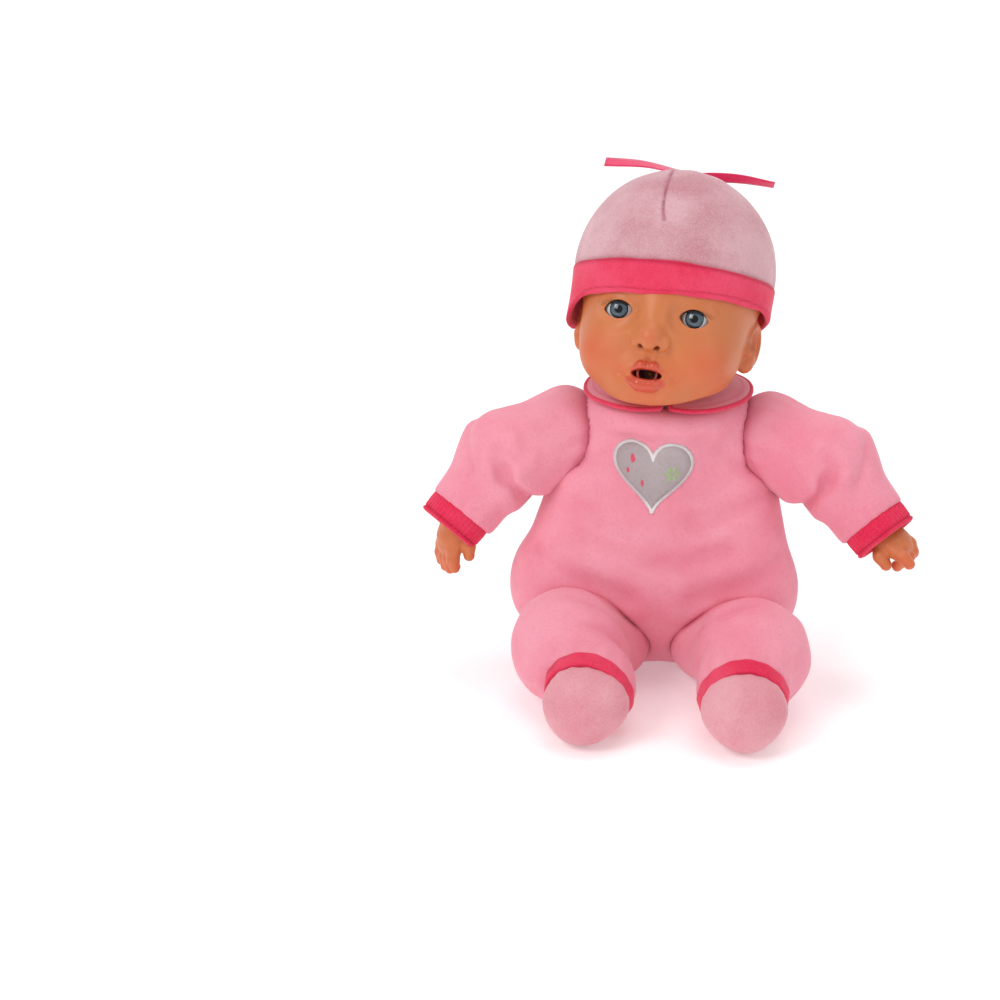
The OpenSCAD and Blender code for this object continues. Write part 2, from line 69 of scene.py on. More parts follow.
# ---------- distance fields ----------
def smin(a, b, k):
    """Union of two fields, blended over a reach of k."""
    h = np.clip(0.5 + 0.5 * (b - a) / k, 0, 1)
    return b + (a - b) * h - k * h * (1 - h)


def smax(a, b, k):
    return -smin(-a, -b, k)


def ball(p, c, r):
    return np.linalg.norm(p - np.asarray(c, np.float32), axis=-1) - r


def egg(p, c, r, turn=None):
    """Ellipsoid at c with three radii, in a turned frame if given."""
    q = p - np.asarray(c, np.float32)
    if turn is not None:
        q = q @ turn
    r = np.asarray(r, np.float32)
    k0, k1 = np.linalg.norm(q / r, axis=-1), np.linalg.norm(q / r**2, axis=-1)
    return k0 * (k0 - 1) / np.maximum(k1, 1e-6)


def cone(p, a, b, ra, rb):
    """Rounded cone from a to b."""
    a, b = np.asarray(a, np.float32), np.asarray(b, np.float32)
    ba = b - a
    t = np.clip(((p - a) @ ba) / (ba @ ba), 0, 1)
    return np.linalg.norm(p - a - t[..., None] * ba, axis=-1) - (ra + (rb - ra) * t)


def string(p, points, radii, k):
    """Chain of rounded cones through points."""
    d = None
    for a, b, ra, rb in zip(points, points[1:], radii, radii[1:]):
        e = cone(p, a, b, ra, rb)
        d = e if d is None else smin(d, e, k)
    return d


def fold(p, points, width, depth, lip=0.35):
    """Depth of a crease along a line of points: a valley with a soft swelling beside it."""
    e = np.minimum.reduce([cone(p, a, b, 0, 0) for a, b in zip(points, points[1:])]) / width
    return depth * (np.exp(-(e**2)) - lip * np.exp(-((e - 1.9) ** 2)))


def lumps(p, size, seed):
    """Slow unevenness of stuffing, a sum of sines between -1 and 1."""
    rng = np.random.default_rng(seed)
    out = 0
    for _ in range(7):
        w = rng.normal(size=3)
        w *= 2 * np.pi / size / np.linalg.norm(w) * rng.uniform(0.7, 1.4)
        out = out + np.sin(p @ w.astype(np.float32) + rng.uniform(0, 6.3))
    return out / 4


def rot(axis, degrees):
    return np.array(Matrix.Rotation(math.radians(degrees), 3, axis))


def spaced(lo, hi, step, fine=None):
    """Grid lines from lo to hi, with a finer step between fine[0] and fine[1]."""
    if fine is None:
        return np.linspace(lo, hi, max(2, int(math.ceil((hi - lo) / step)) + 1))
    a, b, small = fine
    parts = [spaced(lo, a, step)[:-1], spaced(a, b, small)[:-1], spaced(b, hi, step)]
    return np.concatenate(parts)


def surface(field, xs, ys, zs, passes=3):
    """Surface-nets mesh of field < 0 on a rectilinear grid, drawn onto the field's zero."""
    axes = [np.asarray(a, np.float32) for a in (xs, ys, zs)]
    grid = np.stack(np.meshgrid(*axes, indexing="ij"), -1)
    d = np.concatenate([field(s.reshape(-1, 3)).reshape(s.shape[:-1]) for s in grid[:, None]])
    d = d.reshape(grid.shape[:3])
    inside = d < 0
    cells = tuple(n - 1 for n in d.shape)
    total, count = np.zeros(cells + (3,), np.float32), np.zeros(cells, np.float32)
    crossings = []
    for ax in range(3):
        s0 = tuple(slice(None, -1) if i == ax else slice(None) for i in range(3))
        s1 = tuple(slice(1, None) if i == ax else slice(None) for i in range(3))
        cross = inside[s0] != inside[s1]
        t = d[s0] / np.where(cross, d[s0] - d[s1], 1)
        at = (grid[s0] + t[..., None] * (grid[s1] - grid[s0])) * cross[..., None]
        others = [i for i in range(3) if i != ax]
        for m in (0, 1):
            for n in (0, 1):
                take = [slice(None)] * 3
                take[others[0]] = slice(m, m + cells[others[0]])
                take[others[1]] = slice(n, n + cells[others[1]])
                total += at[tuple(take)]
                count += cross[tuple(take)]
        crossings.append((cross, inside[s0]))
    active = count > 0
    index = np.full(cells, -1)
    index[active] = np.arange(active.sum())
    verts = total[active] / count[active][:, None]
    faces = []
    for ax, (cross, start_in) in enumerate(crossings):
        u, w = [(1, 2), (2, 0), (0, 1)][ax]
        at = np.argwhere(cross)
        ok = (at[:, u] > 0) & (at[:, w] > 0) & (at[:, u] < cells[u]) & (at[:, w] < cells[w])
        at = at[ok]
        flip = ~start_in[tuple(at.T)]
        du, dw = np.eye(3, dtype=int)[u], np.eye(3, dtype=int)[w]
        quad = np.stack([index[tuple((at - o).T)] for o in (du + dw, dw, 0 * du, du)], 1)
        quad[flip] = quad[flip][:, ::-1]
        faces.append(quad)
    faces = np.concatenate(faces)
    faces = faces[(faces >= 0).all(1)]
    for _ in range(passes):
        h = 0.05
        v = field(verts)
        g = np.stack([field(verts + h * np.eye(3, dtype=np.float32)[i]) - v for i in range(3)], 1) / h
        step = v[:, None] * g / np.maximum((g**2).sum(1, keepdims=True), 0.25)
        verts = verts - np.clip(step, -0.6, 0.6)
    return verts.astype(float), faces


# ---------- pieces ----------
def make(name, verts, faces, material, body=None, slot=None, replaces=(), smooth=True, masks=None):
    mesh = bpy.data.meshes.new(name)
    mesh.from_pydata((np.asarray(verts) * MM).tolist(), [], [list(map(int, f)) for f in faces])
    mesh.update()
    for key, values in (masks or {}).items():
        mesh.attributes.new(key, "FLOAT", "POINT").data.foreach_set("value", np.asarray(values, np.float32))
    if smooth:
        mesh.shade_smooth()
    obj = bpy.data.objects.new(name, mesh)
    bpy.context.scene.collection.objects.link(obj)
    for m in material if isinstance(material, (list, tuple)) else [material]:
        mesh.materials.append(m)
    if body:
        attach(obj, body)
    if replaces:
        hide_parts(*replaces)
    return obj


def rings(loops, closed=True, caps=False):
    """Verts and quads joining equal closed loops of points in turn."""
    n, m = len(loops[0]), len(loops)
    verts = np.concatenate(loops)
    faces = []
    for i in range(m if closed else m - 1):
        a, b = i * n, (i + 1) % m * n
        faces += [(a + j, a + (j + 1) % n, b + (j + 1) % n, b + j) for j in range(n)]
    if caps:
        faces += [tuple(range(n))[::-1], tuple(range((m - 1) * n, m * n))]
    return verts, faces


def sweep(points, radius, n=10, flat=1.0, closed=False):
    """Tube along points; flat squeezes it across its second axis."""
    p = np.asarray(points, float)
    t = np.gradient(p, axis=0)
    if closed:
        t = np.roll(p, -1, 0) - np.roll(p, 1, 0)
    t /= np.linalg.norm(t, axis=1, keepdims=True)
    side = np.cross(t[0], [0, 0, 1.0])
    if np.linalg.norm(side) < 0.2:
        side = np.cross(t[0], [0, 1.0, 0])
    radii = np.broadcast_to(radius, len(p))
    loops = []
    for i in range(len(p)):
        side = side - (side @ t[i]) * t[i]
        side /= np.linalg.norm(side)
        up2 = np.cross(t[i], side)
        a = np.linspace(0, 2 * np.pi, n, endpoint=False)[:, None]
        loops.append(p[i] + radii[i] * (np.cos(a) * side + flat * np.sin(a) * up2))
    return rings(loops, closed=closed, caps=not closed)


def merged(parts):
    verts, faces, base = [], [], 0
    for v, f in parts:
        verts.append(np.asarray(v))
        faces += [tuple(int(i) + base for i in q) for q in f]
        base += len(v)
    return np.concatenate(verts), faces


def curve(points, n):
    """Smooth curve of n points through the given ones (Catmull-Rom)."""
    p = np.asarray(points, float)
    p = np.concatenate([[2 * p[0] - p[1]], p, [2 * p[-1] - p[-2]]])
    out = []
    for s in np.linspace(0, len(p) - 3 - 1e-9, n):
        i = int(s)
        t = s - i
        a, b, c, d = p[i : i + 4]
        out.append(0.5 * (2 * b + (c - a) * t + (2 * a - 5 * b + 4 * c - d) * t * t + (3 * b - a - 3 * c + d) * t**3))
    return np.array(out)


# ---------- materials ----------
def rgb(r, g, b):
    """Linear colour from 0 to 255 sRGB values."""
    lin = [c / 255 / 12.92 if c < 10.3 else ((c / 255 + 0.055) / 1.055) ** 2.4 for c in (r, g, b)]
    return (*lin, 1)


class Mat:
    """Small builder of node materials."""

    def __init__(self, name, **sockets):
        self.m = bpy.data.materials.new(name)
        self.m.use_nodes = True
        self.t = self.m.node_tree
        self.b = next(n for n in self.t.nodes if n.type == "BSDF_PRINCIPLED")
        for k, v in sockets.items():
            self.b.inputs[k.replace("_", " ")].default_value = v
        self.coord = self.t.nodes.new("ShaderNodeTexCoord").outputs["Object"]

    def link(self, a, b):
        self.t.links.new(a, b)

    def noise(self, scale, detail=3, stretch=None, rough=0.55):
        n = self.t.nodes.new("ShaderNodeTexNoise")
        n.inputs["Scale"].default_value, n.inputs["Detail"].default_value = scale, detail
        n.inputs["Roughness"].default_value = rough
        src = self.coord
        if stretch:
            mp = self.t.nodes.new("ShaderNodeMapping")
            mp.inputs["Scale"].default_value = stretch
            self.link(src, mp.inputs[0])
            src = mp.outputs[0]
        self.link(src, n.inputs["Vector"])
        return n.outputs["Fac"]

    def ramp(self, src, lo, hi, a=0.0, b=1.0):
        n = self.t.nodes.new("ShaderNodeMapRange")
        for i, v in enumerate((lo, hi, a, b)):
            n.inputs[1 + i].default_value = v
        self.link(src, n.inputs[0])
        return n.outputs[0]

    def attr(self, name):
        n = self.t.nodes.new("ShaderNodeAttribute")
        n.attribute_name = name
        return n.outputs["Fac"]

    def mix(self, fac, a, b, mode="MIX"):
        n = self.t.nodes.new("ShaderNodeMix")
        n.data_type, n.blend_type = "RGBA", mode
        for sock, v in ((n.inputs[0], fac), (n.inputs[6], a), (n.inputs[7], b)):
            if isinstance(v, (int, float, tuple)):
                sock.default_value = v
            else:
                self.link(v, sock)
        return n.outputs[2]

    def color(self, src):
        self.link(src, self.b.inputs["Base Color"])

    def rough(self, src):
        self.link(src, self.b.inputs["Roughness"])

    def bump(self, src, strength, distance):
        n = self.t.nodes.new("ShaderNodeBump")
        n.inputs["Strength"].default_value, n.inputs["Distance"].default_value = strength, distance
        self.link(src, n.inputs["Height"])
        old = self.b.inputs["Normal"].links
        if old:
            self.link(old[0].from_socket, n.inputs["Normal"])
        self.link(n.outputs[0], self.b.inputs["Normal"])


def cloth(name, base, deep_tone_and_crease_shade, pale, nap=1.0, sheen=0.35):
    """Brushed velour: soft blotches, short nap, random deeper tone, painted shade in creases and seams, and a pale
    bloom.
    """
    k = Mat(name, Roughness=0.92, Sheen_Weight=sheen, Sheen_Roughness=0.45)
    k.b.inputs["Sheen Tint"].default_value = (1, 0.82, 0.86, 1)
    k.b.inputs["Specular IOR Level"].default_value = 0.15
    blotch = k.ramp(k.noise(24, 4), 0.38, 0.62)
    c = k.mix(blotch, base, k.mix(0.5, base, pale))
    nap_n = k.noise(1500, 2, rough=0.7)
    c = k.mix(k.ramp(nap_n, 0.45, 0.72, 0, 0.30 * nap), c, pale)
    c = k.mix(k.ramp(k.noise(700, 3), 0.52, 0.75, 0, 0.22), c, deep_tone_and_crease_shade)
    # Painted shade: the deep colour laid into creases, seams and joins by the per-vertex crease mask.
    c = k.mix(k.attr("fold"), c, deep_tone_and_crease_shade)
    k.color(c)
    k.bump(nap_n, 0.35 * nap, 0.0005)
    k.bump(k.noise(160, 3), 0.12, 0.0012)
    return k


SUIT = cloth("suit_velour", rgb(236, 140, 160), rgb(214, 84, 116), rgb(244, 172, 188)).m
CAP = cloth("cap_velour", rgb(192, 126, 136), rgb(164, 78, 98), rgb(232, 196, 202), 1.7, 0.6).m
DUSTY = cloth("foot_velour", rgb(220, 138, 150), rgb(190, 86, 108), rgb(238, 188, 196), 1.3, 0.45).m
HOT = cloth("trim_fleece", rgb(226, 38, 78), rgb(168, 16, 50), rgb(240, 98, 126), 1.2, 0.25).m

k = Mat("ribbon_satin", Roughness=0.32, Sheen_Weight=0.1)
k.b.inputs["Anisotropic"].default_value = 0.5
k.color(k.mix(k.ramp(k.noise(900, 2, (1, 9, 9)), 0.4, 0.6), rgb(222, 22, 82), rgb(240, 60, 112)))
k.bump(k.noise(1400, 1, (1, 8, 8)), 0.15, 0.0003)
RIBBON = k.m

k = Mat("vinyl_skin", Roughness=0.44, Subsurface_Weight=0.18, Subsurface_Scale=0.004)
k.b.inputs["Subsurface Radius"].default_value = (1.0, 0.35, 0.18)
k.b.inputs["Coat Weight"].default_value, k.b.inputs["Coat Roughness"].default_value = 0.06, 0.35
c = k.mix(k.ramp(k.noise(14, 3), 0.35, 0.65), rgb(208, 122, 70), rgb(200, 114, 63))
c = k.mix(k.attr("blush"), c, rgb(216, 94, 60))
c = k.mix(k.attr("lip"), c, rgb(206, 78, 56))
# Painted shade inside the mouth, in the nostrils and ear hollows and round the eyeballs.
c = k.mix(k.attr("dark"), c, rgb(96, 30, 18))
k.color(c)
k.rough(k.ramp(k.attr("lip"), 0, 1, 0.46, 0.13))
k.bump(k.noise(700, 3), 0.05, 0.0004)
SKIN = k.m

k = Mat("eye_white", Roughness=0.06)
k.b.inputs["Coat Weight"].default_value = 0.6
k.color(k.mix(k.ramp(k.noise(90, 3), 0.4, 0.7), rgb(236, 238, 240), rgb(222, 224, 230)))
WHITE = k.m
k = Mat("eye_iris", Roughness=0.08)
k.b.inputs["Coat Weight"].default_value = 0.6
streak = k.t.nodes.new("ShaderNodeAttribute")
streak.attribute_name = "around"
n = k.t.nodes.new("ShaderNodeTexNoise")
n.inputs["Scale"].default_value = 9
n.inputs["Detail"].default_value = 4
k.link(streak.outputs["Vector"], n.inputs["Vector"])
iris = k.mix(k.ramp(n.outputs["Fac"], 0.35, 0.65), rgb(44, 62, 76), rgb(98, 122, 136))
k.color(k.mix(k.attr("rim"), iris, rgb(22, 30, 38)))
IRIS = k.m
k = Mat("eye_pupil", Roughness=0.05)
k.color(k.mix(k.noise(300), rgb(6, 6, 8), rgb(12, 12, 14)))
PUPIL = k.m
k = Mat("lash_black", Roughness=0.5)
k.color(k.mix(k.noise(600), rgb(16, 12, 11), rgb(34, 26, 24)))
LASH = k.m

# ---------- the head's own frame ----------
HEAD = rot("Z", -8) @ rot("Y", 4) @ rot("X", -18)
HEAD_AT = v3(2, 5, 225)


def from_head(p):
    return np.asarray(p) @ HEAD.T + HEAD_AT


EYE = v3(20, -36, -26)
EYE_R = 9.5
EYE_POINTS = 64
SOCKET_R = 10.6
LIP_Z = -57


def mirror(p):
    """Points folded onto the left side, so one description serves both."""
    return np.stack([np.abs(p[:, 0]), p[:, 1], p[:, 2]], 1)


def upper_lip(q):
    return string(q, [(12.0, -45.2, -58.0), (8.0, -48.2, -55.4), (3.2, -50.6, -52.9), (0, -50.4, -53.7)],
                  [0.7, 1.5, 2.1, 2.0], 1.6)


def lower_lip(q):
    return string(q, [(11.4, -45.4, -58.8), (7.8, -48.0, -61.2), (3.6, -49.6, -62.6), (0, -49.9, -63.0)],
                  [0.8, 2.5, 3.5, 3.7], 1.6)


def mouth_gap(q):
    gap = egg(q, (0, -49.5, -57.6), (8.0, 9, 2.3))
    bore = np.maximum(np.hypot(q[:, 0], q[:, 2] - LIP_Z) - 5.7, q[:, 1] + 20)
    return np.minimum(gap, np.maximum(bore, -47.6 - q[:, 1]))


def eye_slot(q, grow=0.0):
    """Almond opening of an eye, as the overlap of two discs seen along the gaze."""
    u, w = q[:, 0] - EYE[0], q[:, 2] - EYE[2]
    turn = math.radians(4)
    u, w = u * math.cos(turn) - w * math.sin(turn), u * math.sin(turn) + w * math.cos(turn)
    d = smax(np.hypot(u, w + 3.4) - 8.4, np.hypot(u, w - 4.2) - 8.8, 1.0) - grow
    return np.maximum(d, q[:, 1] - EYE[1])


def head_field(p):
    q = mirror(p)
    # Cranium, face, cheeks, chin and muzzle
    d = smin(ball(p, (0, 0, 0), 51), ball(p, (0, -12, -32), 41), 12)
    d = smin(d, ball(q, (14, -16, -42), 28.5), 9)
    d = smin(d, egg(q, (23, -32, -50), (14, 13, 13)), 10)
    d = smin(d, egg(p, (0, -33, -66), (20, 14, 12)), 12)
    d = smin(d, egg(p, (0, -40, -58), (16, 9.0, 13)), 9)
    # Eye hollows, nose and the swell of the eyeballs
    d = smax(d, -egg(q, (20, -52.5, -25), (11, 5, 8.5)), 7)
    d = smin(d, cone(q, (0, -48, -20), (0, -53.5, -35), 3.6, 4.6), 8)
    d = smin(d, ball(q, (0, -54.4, -38.4), 6.2), 4)
    d = smin(d, ball(q, (6.0, -51.4, -40.4), 4.6), 2.2)
    d = smin(d, ball(q, tuple(EYE), 12.0), 2.2)
    # Lid creases, philtrum, chin crease and cheek creases
    lid = curve([(12.5, -47, -21.5), (17, -49, -18.0), (24, -48, -18.4), (28, -43, -23)], 8)
    d = d + fold(q, lid, 1.9, 0.35, 0.3)
    d = d + fold(q, curve([(13, -48, -32.5), (19, -49, -35.4), (26, -46, -34)], 7), 2.6, 0.3, 0.3)
    d = d + fold(q, [(0, -56, -46), (0, -50, -50)], 1.5, 1.0, 0.6)
    d = d + fold(q, [(0, -47, -69.6), (5, -46, -69.2)], 3.6, 1.0, 0.1)
    d = d + fold(q, curve([(10.5, -50, -44), (14.6, -46, -50), (15.6, -44, -56)], 7), 2.6, 0.5, 0.2)
    # Lips, mouth corners, mouth and nostrils
    d = smin(smin(d, upper_lip(q), 1.2), lower_lip(q), 1.2)
    d = d + 1.1 * np.exp(-(ball(q, (13.2, -46.4, -58.2), 0) / 2.3) ** 2)
    d = smax(d, -mouth_gap(q), 1.4)
    d = smax(d, -cone(q, (4.3, -56.4, -45.6), (3.6, -52.5, -40.6), 1.9, 1.3), 1.0)
    # Ear: plate, rim, hollow, tragus and lobe
    flare = rot("Z", 24) @ rot("X", -8)
    ear = egg(q, (44.6, 3, -34), (4.4, 10.0, 13.2), flare)
    outward = (q[:, 0] - 46.6 - 0.40 * (q[:, 1] - 2)) * 0.9
    rim = np.hypot(egg(q, (45.8, 2, -34), (6.5, 8.0, 11.2), flare), outward) - 1.7
    ear = smin(ear, rim, 1.5)
    ear = smax(ear, -egg(q, (49.6, -1.5, -32.6), (4.6, 5.0, 7.2), rot("Z", 24)), 2)
    ear = smin(ear, cone(q, (45.6, -6.0, -38.5), (44.2, -6.6, -34), 2.0, 1.6), 1.5)
    ear = smin(ear, egg(q, (44.2, -1.0, -45.0), (4.0, 4.6, 4.8)), 3)
    d = smin(d, egg(q, (40, 3, -34), (5, 7, 10)), 5)
    d = smin(d, ear, 2.5)
    # Eye sockets, flat underside and neck
    d = smax(d, -ball(q, tuple(EYE), SOCKET_R), 0.25)
    d = smax(d, -eye_slot(q), 0.9)
    world = from_head(p)
    d = smax(d, 168.2 - world[:, 2], 3.5)
    neck = np.maximum(np.hypot(world[:, 0], world[:, 1]) - 21.9, 150.2 - world[:, 2])
    return smin(d, np.maximum(neck, world[:, 2] - 176), 1.5)


def soft_step(x, lo, hi):
    t = np.clip((x - lo) / (hi - lo), 0, 1)
    return t * t * (3 - 2 * t)


def spot(q, c, r):
    return np.exp(-(((q - np.asarray(c)) / np.asarray(r)) ** 2).sum(1))


def build_head():
    xs = spaced(-58, 58, 1.5, (-32, 32, 0.55))
    ys = spaced(-63, 52, 1.6, (-62, -36, 0.55))
    zs = spaced(-84, 52, 1.6, (-76, -12, 0.55))
    v, f = surface(head_field, xs, ys, zs)
    q = mirror(v)
    lip = soft_step(-np.minimum(upper_lip(q), lower_lip(q)), -0.7, 0.2)
    lip = lip * (q[:, 1] < -42) * soft_step(-q[:, 0], -12.6, -11)
    # Painted shade in recesses: inside the mouth, the nostrils, the ear hollow and a ring where each eyeball meets its
    # socket.
    dark = soft_step(-mouth_gap(q), -0.9, 0.6) * soft_step(q[:, 1], -49.5, -46.0)
    dark = np.maximum(dark, spot(q, (4.1, -54.6, -43.6), (1.6, 2.6, 1.8)) * 0.7)
    dark = np.maximum(dark, 0.45 * spot(q, (49, -3, -32.6), (4, 4, 6)))
    dark = np.maximum(dark, (1 - soft_step(np.abs(ball(q, tuple(EYE), SOCKET_R)), 0.1, 0.5)) * 0.8 * (q[:, 1] < -40))
    blush = 0.75 * spot(q, (29, -38, -49), (13, 14, 11)) + 0.45 * spot(q, (0, -46, -73), (12, 10, 8))
    blush += 0.35 * spot(q, (0, -59, -39), (6, 6, 5)) + 0.35 * spot(q, (13.5, -44, -58), (5, 6, 6))
    blush += 0.35 * spot(q, (48, 0, -34), (7, 14, 14)) + 0.4 * spot(q, (0, -48, -57), (17, 8, 10))
    make("head_vinyl", from_head(v), f, SKIN, "head", "skin", ("head_shell",),
         masks={"lip": lip, "dark": dark, "blush": np.clip(blush, 0, 1)})


def eye_point(side, x, y, z):
    return from_head(v3(side * (EYE[0] + x), EYE[1] + y, EYE[2] + z))


def build_eye(side, word):
    """Eyeball with its iris as rings about the gaze, then the lash line on the lid's edge."""
    gaze = rot("X", -2)
    # Angles from the gaze: pupil to 14 degrees, iris to 31.5, then the white
    polar = np.radians([0.6, 6, 11.5, 13, 14, 17, 21, 25, 28, 30.0, 31.5, 33, 38,
                        45, 60, 75, 90, 105, 120, 135, 150, 165, 179])
    a = np.linspace(0, 2 * np.pi, EYE_POINTS, endpoint=False)
    loops, around, rim = [], [], []
    for t in polar:
        pts = EYE_R * np.stack([np.sin(t) * np.cos(a), -np.cos(t) + 0 * a, np.sin(t) * np.sin(a)], 1)
        pts = pts @ gaze.T
        loops.append(np.array([eye_point(side, *(p * (side, 1, 1))) for p in pts]))
        around += [(2 * math.cos(x), 2 * math.sin(x), math.degrees(t) / 60) for x in a]
        rim += [float(soft_step(np.degrees(t), 23, 30))] * EYE_POINTS
    verts, faces = rings(loops, closed=False, caps=True)
    if side > 0:
        faces = [f[::-1] for f in faces]
    obj = make(word + "_eye_print", verts, faces, [WHITE, IRIS, PUPIL], word + "_eye", "eye",
               (word + "_eyeball",), masks={"rim": rim})
    at = obj.data.attributes.new("around", "FLOAT_VECTOR", "POINT")
    at.data.foreach_set("vector", np.array(around, np.float32).ravel())
    for i, poly in enumerate(obj.data.polygons):
        front_cap = i == len(faces) - 2
        ring = i // EYE_POINTS
        poly.material_index = 2 if ring < 3 or front_cap else 1 if ring < 10 else 0
    # Axles of the eyeball, which turn in the eye case
    axle = [sweep([eye_point(side, s * 9.2, 0, 0), eye_point(side, s * 11.6, 0, 0)], 0.95, 20) for s in (-1, 1)]
    make(word + "_eye_axles", *merged(axle), WHITE, word + "_eye", "eye")
    edge, parts = [], []
    reach = np.linspace(-7.6, 8.0, 25)
    slope = [23.5 - 9 * max(0, -u - 4) ** 2 / 13 - 17 * max(0, u - 3) ** 2 / 25 for u in reach]
    for u, t in zip(reach, np.radians(slope)):
        r = math.sqrt(10.15**2 - u * u)
        edge.append(eye_point(side, u, -r * math.cos(t), r * math.sin(t)))
    parts.append(sweep(edge, np.interp(np.arange(25), [0, 6, 20, 24], [0.3, 0.75, 0.8, 0.4]), 8, 0.9))
    rng = np.random.default_rng(5)
    for u in np.linspace(-6.6, 7.6, 34):
        t = math.radians(24 - 17 * max(0, u - 3) ** 2 / 25)
        r = math.sqrt(10.25**2 - u * u)
        lean = 0.10 * u + rng.uniform(-0.15, 0.15)
        root = v3(u, -r * math.cos(t), r * math.sin(t))
        size = 1.5 + 0.16 * (u + 7) + rng.uniform(-0.2, 0.2)
        tip = root + size * v3(lean, -0.85, 0.35)
        mid = root + size * v3(lean * 0.4, -0.55, -0.02)
        path = curve([root, mid, tip], 6)
        parts.append(sweep([eye_point(side, *p) for p in path], np.linspace(0.14, 0.03, 6), 5))
    make(word + "_lashes", *merged(parts), LASH, word + "_eye", "dark_plastic")


build_head()
for s, w in ((1, "left"), (-1, "right")):
    build_eye(s, w)


# ---------- cap ----------
SEAM_Z, SEAM_TILT, HEM_Z, HEM_TILT = -4, 7, -27, 11
DART = [(-7, -8, 53.4), (-6, -30, 44), (-4.5, -44, 30), (-2.5, -48.6, 23)]


def band_plane(q, z, tilt):
    """Height above the cap's seam or hem in the head frame: it rises to the face and to the left."""
    t, x = math.radians(tilt), np.clip(q[:, 0], -56, 56)
    if z == SEAM_Z:
        rise = 0.03 * x - 2.5
    else:
        rise = 0.13 * np.maximum(x, 0) - 0.0277 * np.maximum(-x - 35, 0) ** 2
    return (q[:, 2] - z - rise) * math.cos(t) + q[:, 1] * math.sin(t)


def crown_mass(q):
    d = ball(q, (0, 0, 0), 53.7)
    ang = np.arctan2(q[:, 0], -q[:, 1])
    near_bow = np.exp(-((q[:, 0] / 26) ** 2 + ((q[:, 1] - 20) / 26) ** 2))
    gather = 0.55 * near_bow * np.sin(13 * np.arctan2(q[:, 0], 21 - q[:, 1]))
    near_seam = np.exp(-(((band_plane(q, SEAM_Z, SEAM_TILT) - 5) / 7) ** 2))
    pucker = 0.35 * near_seam * np.sin(ang * 17 + 2 * np.sin(3 * ang))
    slack = 0.45 * lumps(q, 38, 3)
    dart = fold(q, curve(DART, 12), 0.9, 1.0, 0.5)
    seam = fold(q, curve([(16, -14, 50), (34, -12, 41), (46, -8, 28), (52, -4, 10)], 10), 0.7, 0.5, 0.4)
    return d - gather * (q[:, 2] > 0) - pucker - slack + dart + seam


def crown_field(p):
    skin_d = crown_mass(p)
    hollow = np.maximum(ball(p, (0, 0, 0), 51.0), skin_d + 2.2)
    return smax(smax(skin_d, -hollow, 0.3), -1.5 - band_plane(p, SEAM_Z, SEAM_TILT), 0.5)


def skirt(p):
    """Distance from the head's axis below its centre, and from its centre above."""
    return np.where(p[:, 2] > 0, np.linalg.norm(p, axis=1), np.hypot(p[:, 0], p[:, 1]))


def band_field(p):
    top, low = band_plane(p, SEAM_Z, SEAM_TILT), band_plane(p, HEM_Z, HEM_TILT)
    ang = np.arctan2(p[:, 0], -p[:, 1])
    wave = 0.35 * np.sin(5 * ang + 1) + 0.3 * np.sin(11 * ang)
    body = np.abs(skirt(p) - 53.1 - 0.35 * np.sin(top / 7)) - 1.35 - 0.12 * np.sin(9 * ang)
    return smax(smax(body, top - 2.0 - 0.5 * wave, 1.6), -low + 0.3 + wave, 1.6)


def build_cap():
    v, f = surface(crown_field, spaced(-56, 56, 1.1), spaced(-56, 56, 1.1), spaced(-20, 57, 1.1))
    dart = fold(v, curve(DART, 12), 0.8, 1.0, 0)
    # Painted shade in the dart and where the crown goes in under the band.
    crease_shade_mask = np.clip(dart + 0.5 * np.exp(-((band_plane(v, SEAM_Z, SEAM_TILT) - 1.5) / 1.6) ** 2), 0, 1)
    crown = make("cap_crown_velour", from_head(v), f, CAP, "cap", "suit_light", ("cap_crown",),
                 masks={"fold": crease_shade_mask})
    v, f = surface(band_field, spaced(-58, 58, 1.0), spaced(-58, 58, 1.0), spaced(-48, 24, 0.9))
    top = band_plane(v, SEAM_Z, SEAM_TILT)
    low = band_plane(v, HEM_Z, HEM_TILT)
    # Painted shade along the band's top edge; a darker line just above its lower edge.
    mask = 0.6 * np.exp(-((top - 1) / 1.2) ** 2) + 0.5 * np.exp(-((low - 2.6) / 0.5) ** 2)
    band = make("cap_band_fleece", from_head(v), f, HOT, "cap", "trim", ("cap_band",),
                masks={"fold": np.clip(mask, 0, 1)})


def strip(points, width, thick, face):
    """Flat ribbon along points: width across, thick through; face gives each point's outward side."""
    p = np.asarray(points, float)
    t = np.gradient(p, axis=0)
    t /= np.linalg.norm(t, axis=1, keepdims=True)
    section = ((-1, -1), (-0.5, -1), (0.5, -1), (1, -1), (1, 1), (0.5, 1), (-0.5, 1), (-1, 1))
    loops = []
    for i in range(len(p)):
        nrm = np.asarray(face[i], float)
        nrm = nrm - (nrm @ t[i]) * t[i]
        nrm /= np.linalg.norm(nrm)
        side = np.cross(t[i], nrm)
        loops.append(np.array([p[i] + a * side * width / 2 + b * nrm * thick / 2 for a, b in section]))
    return rings(loops, closed=False, caps=True)


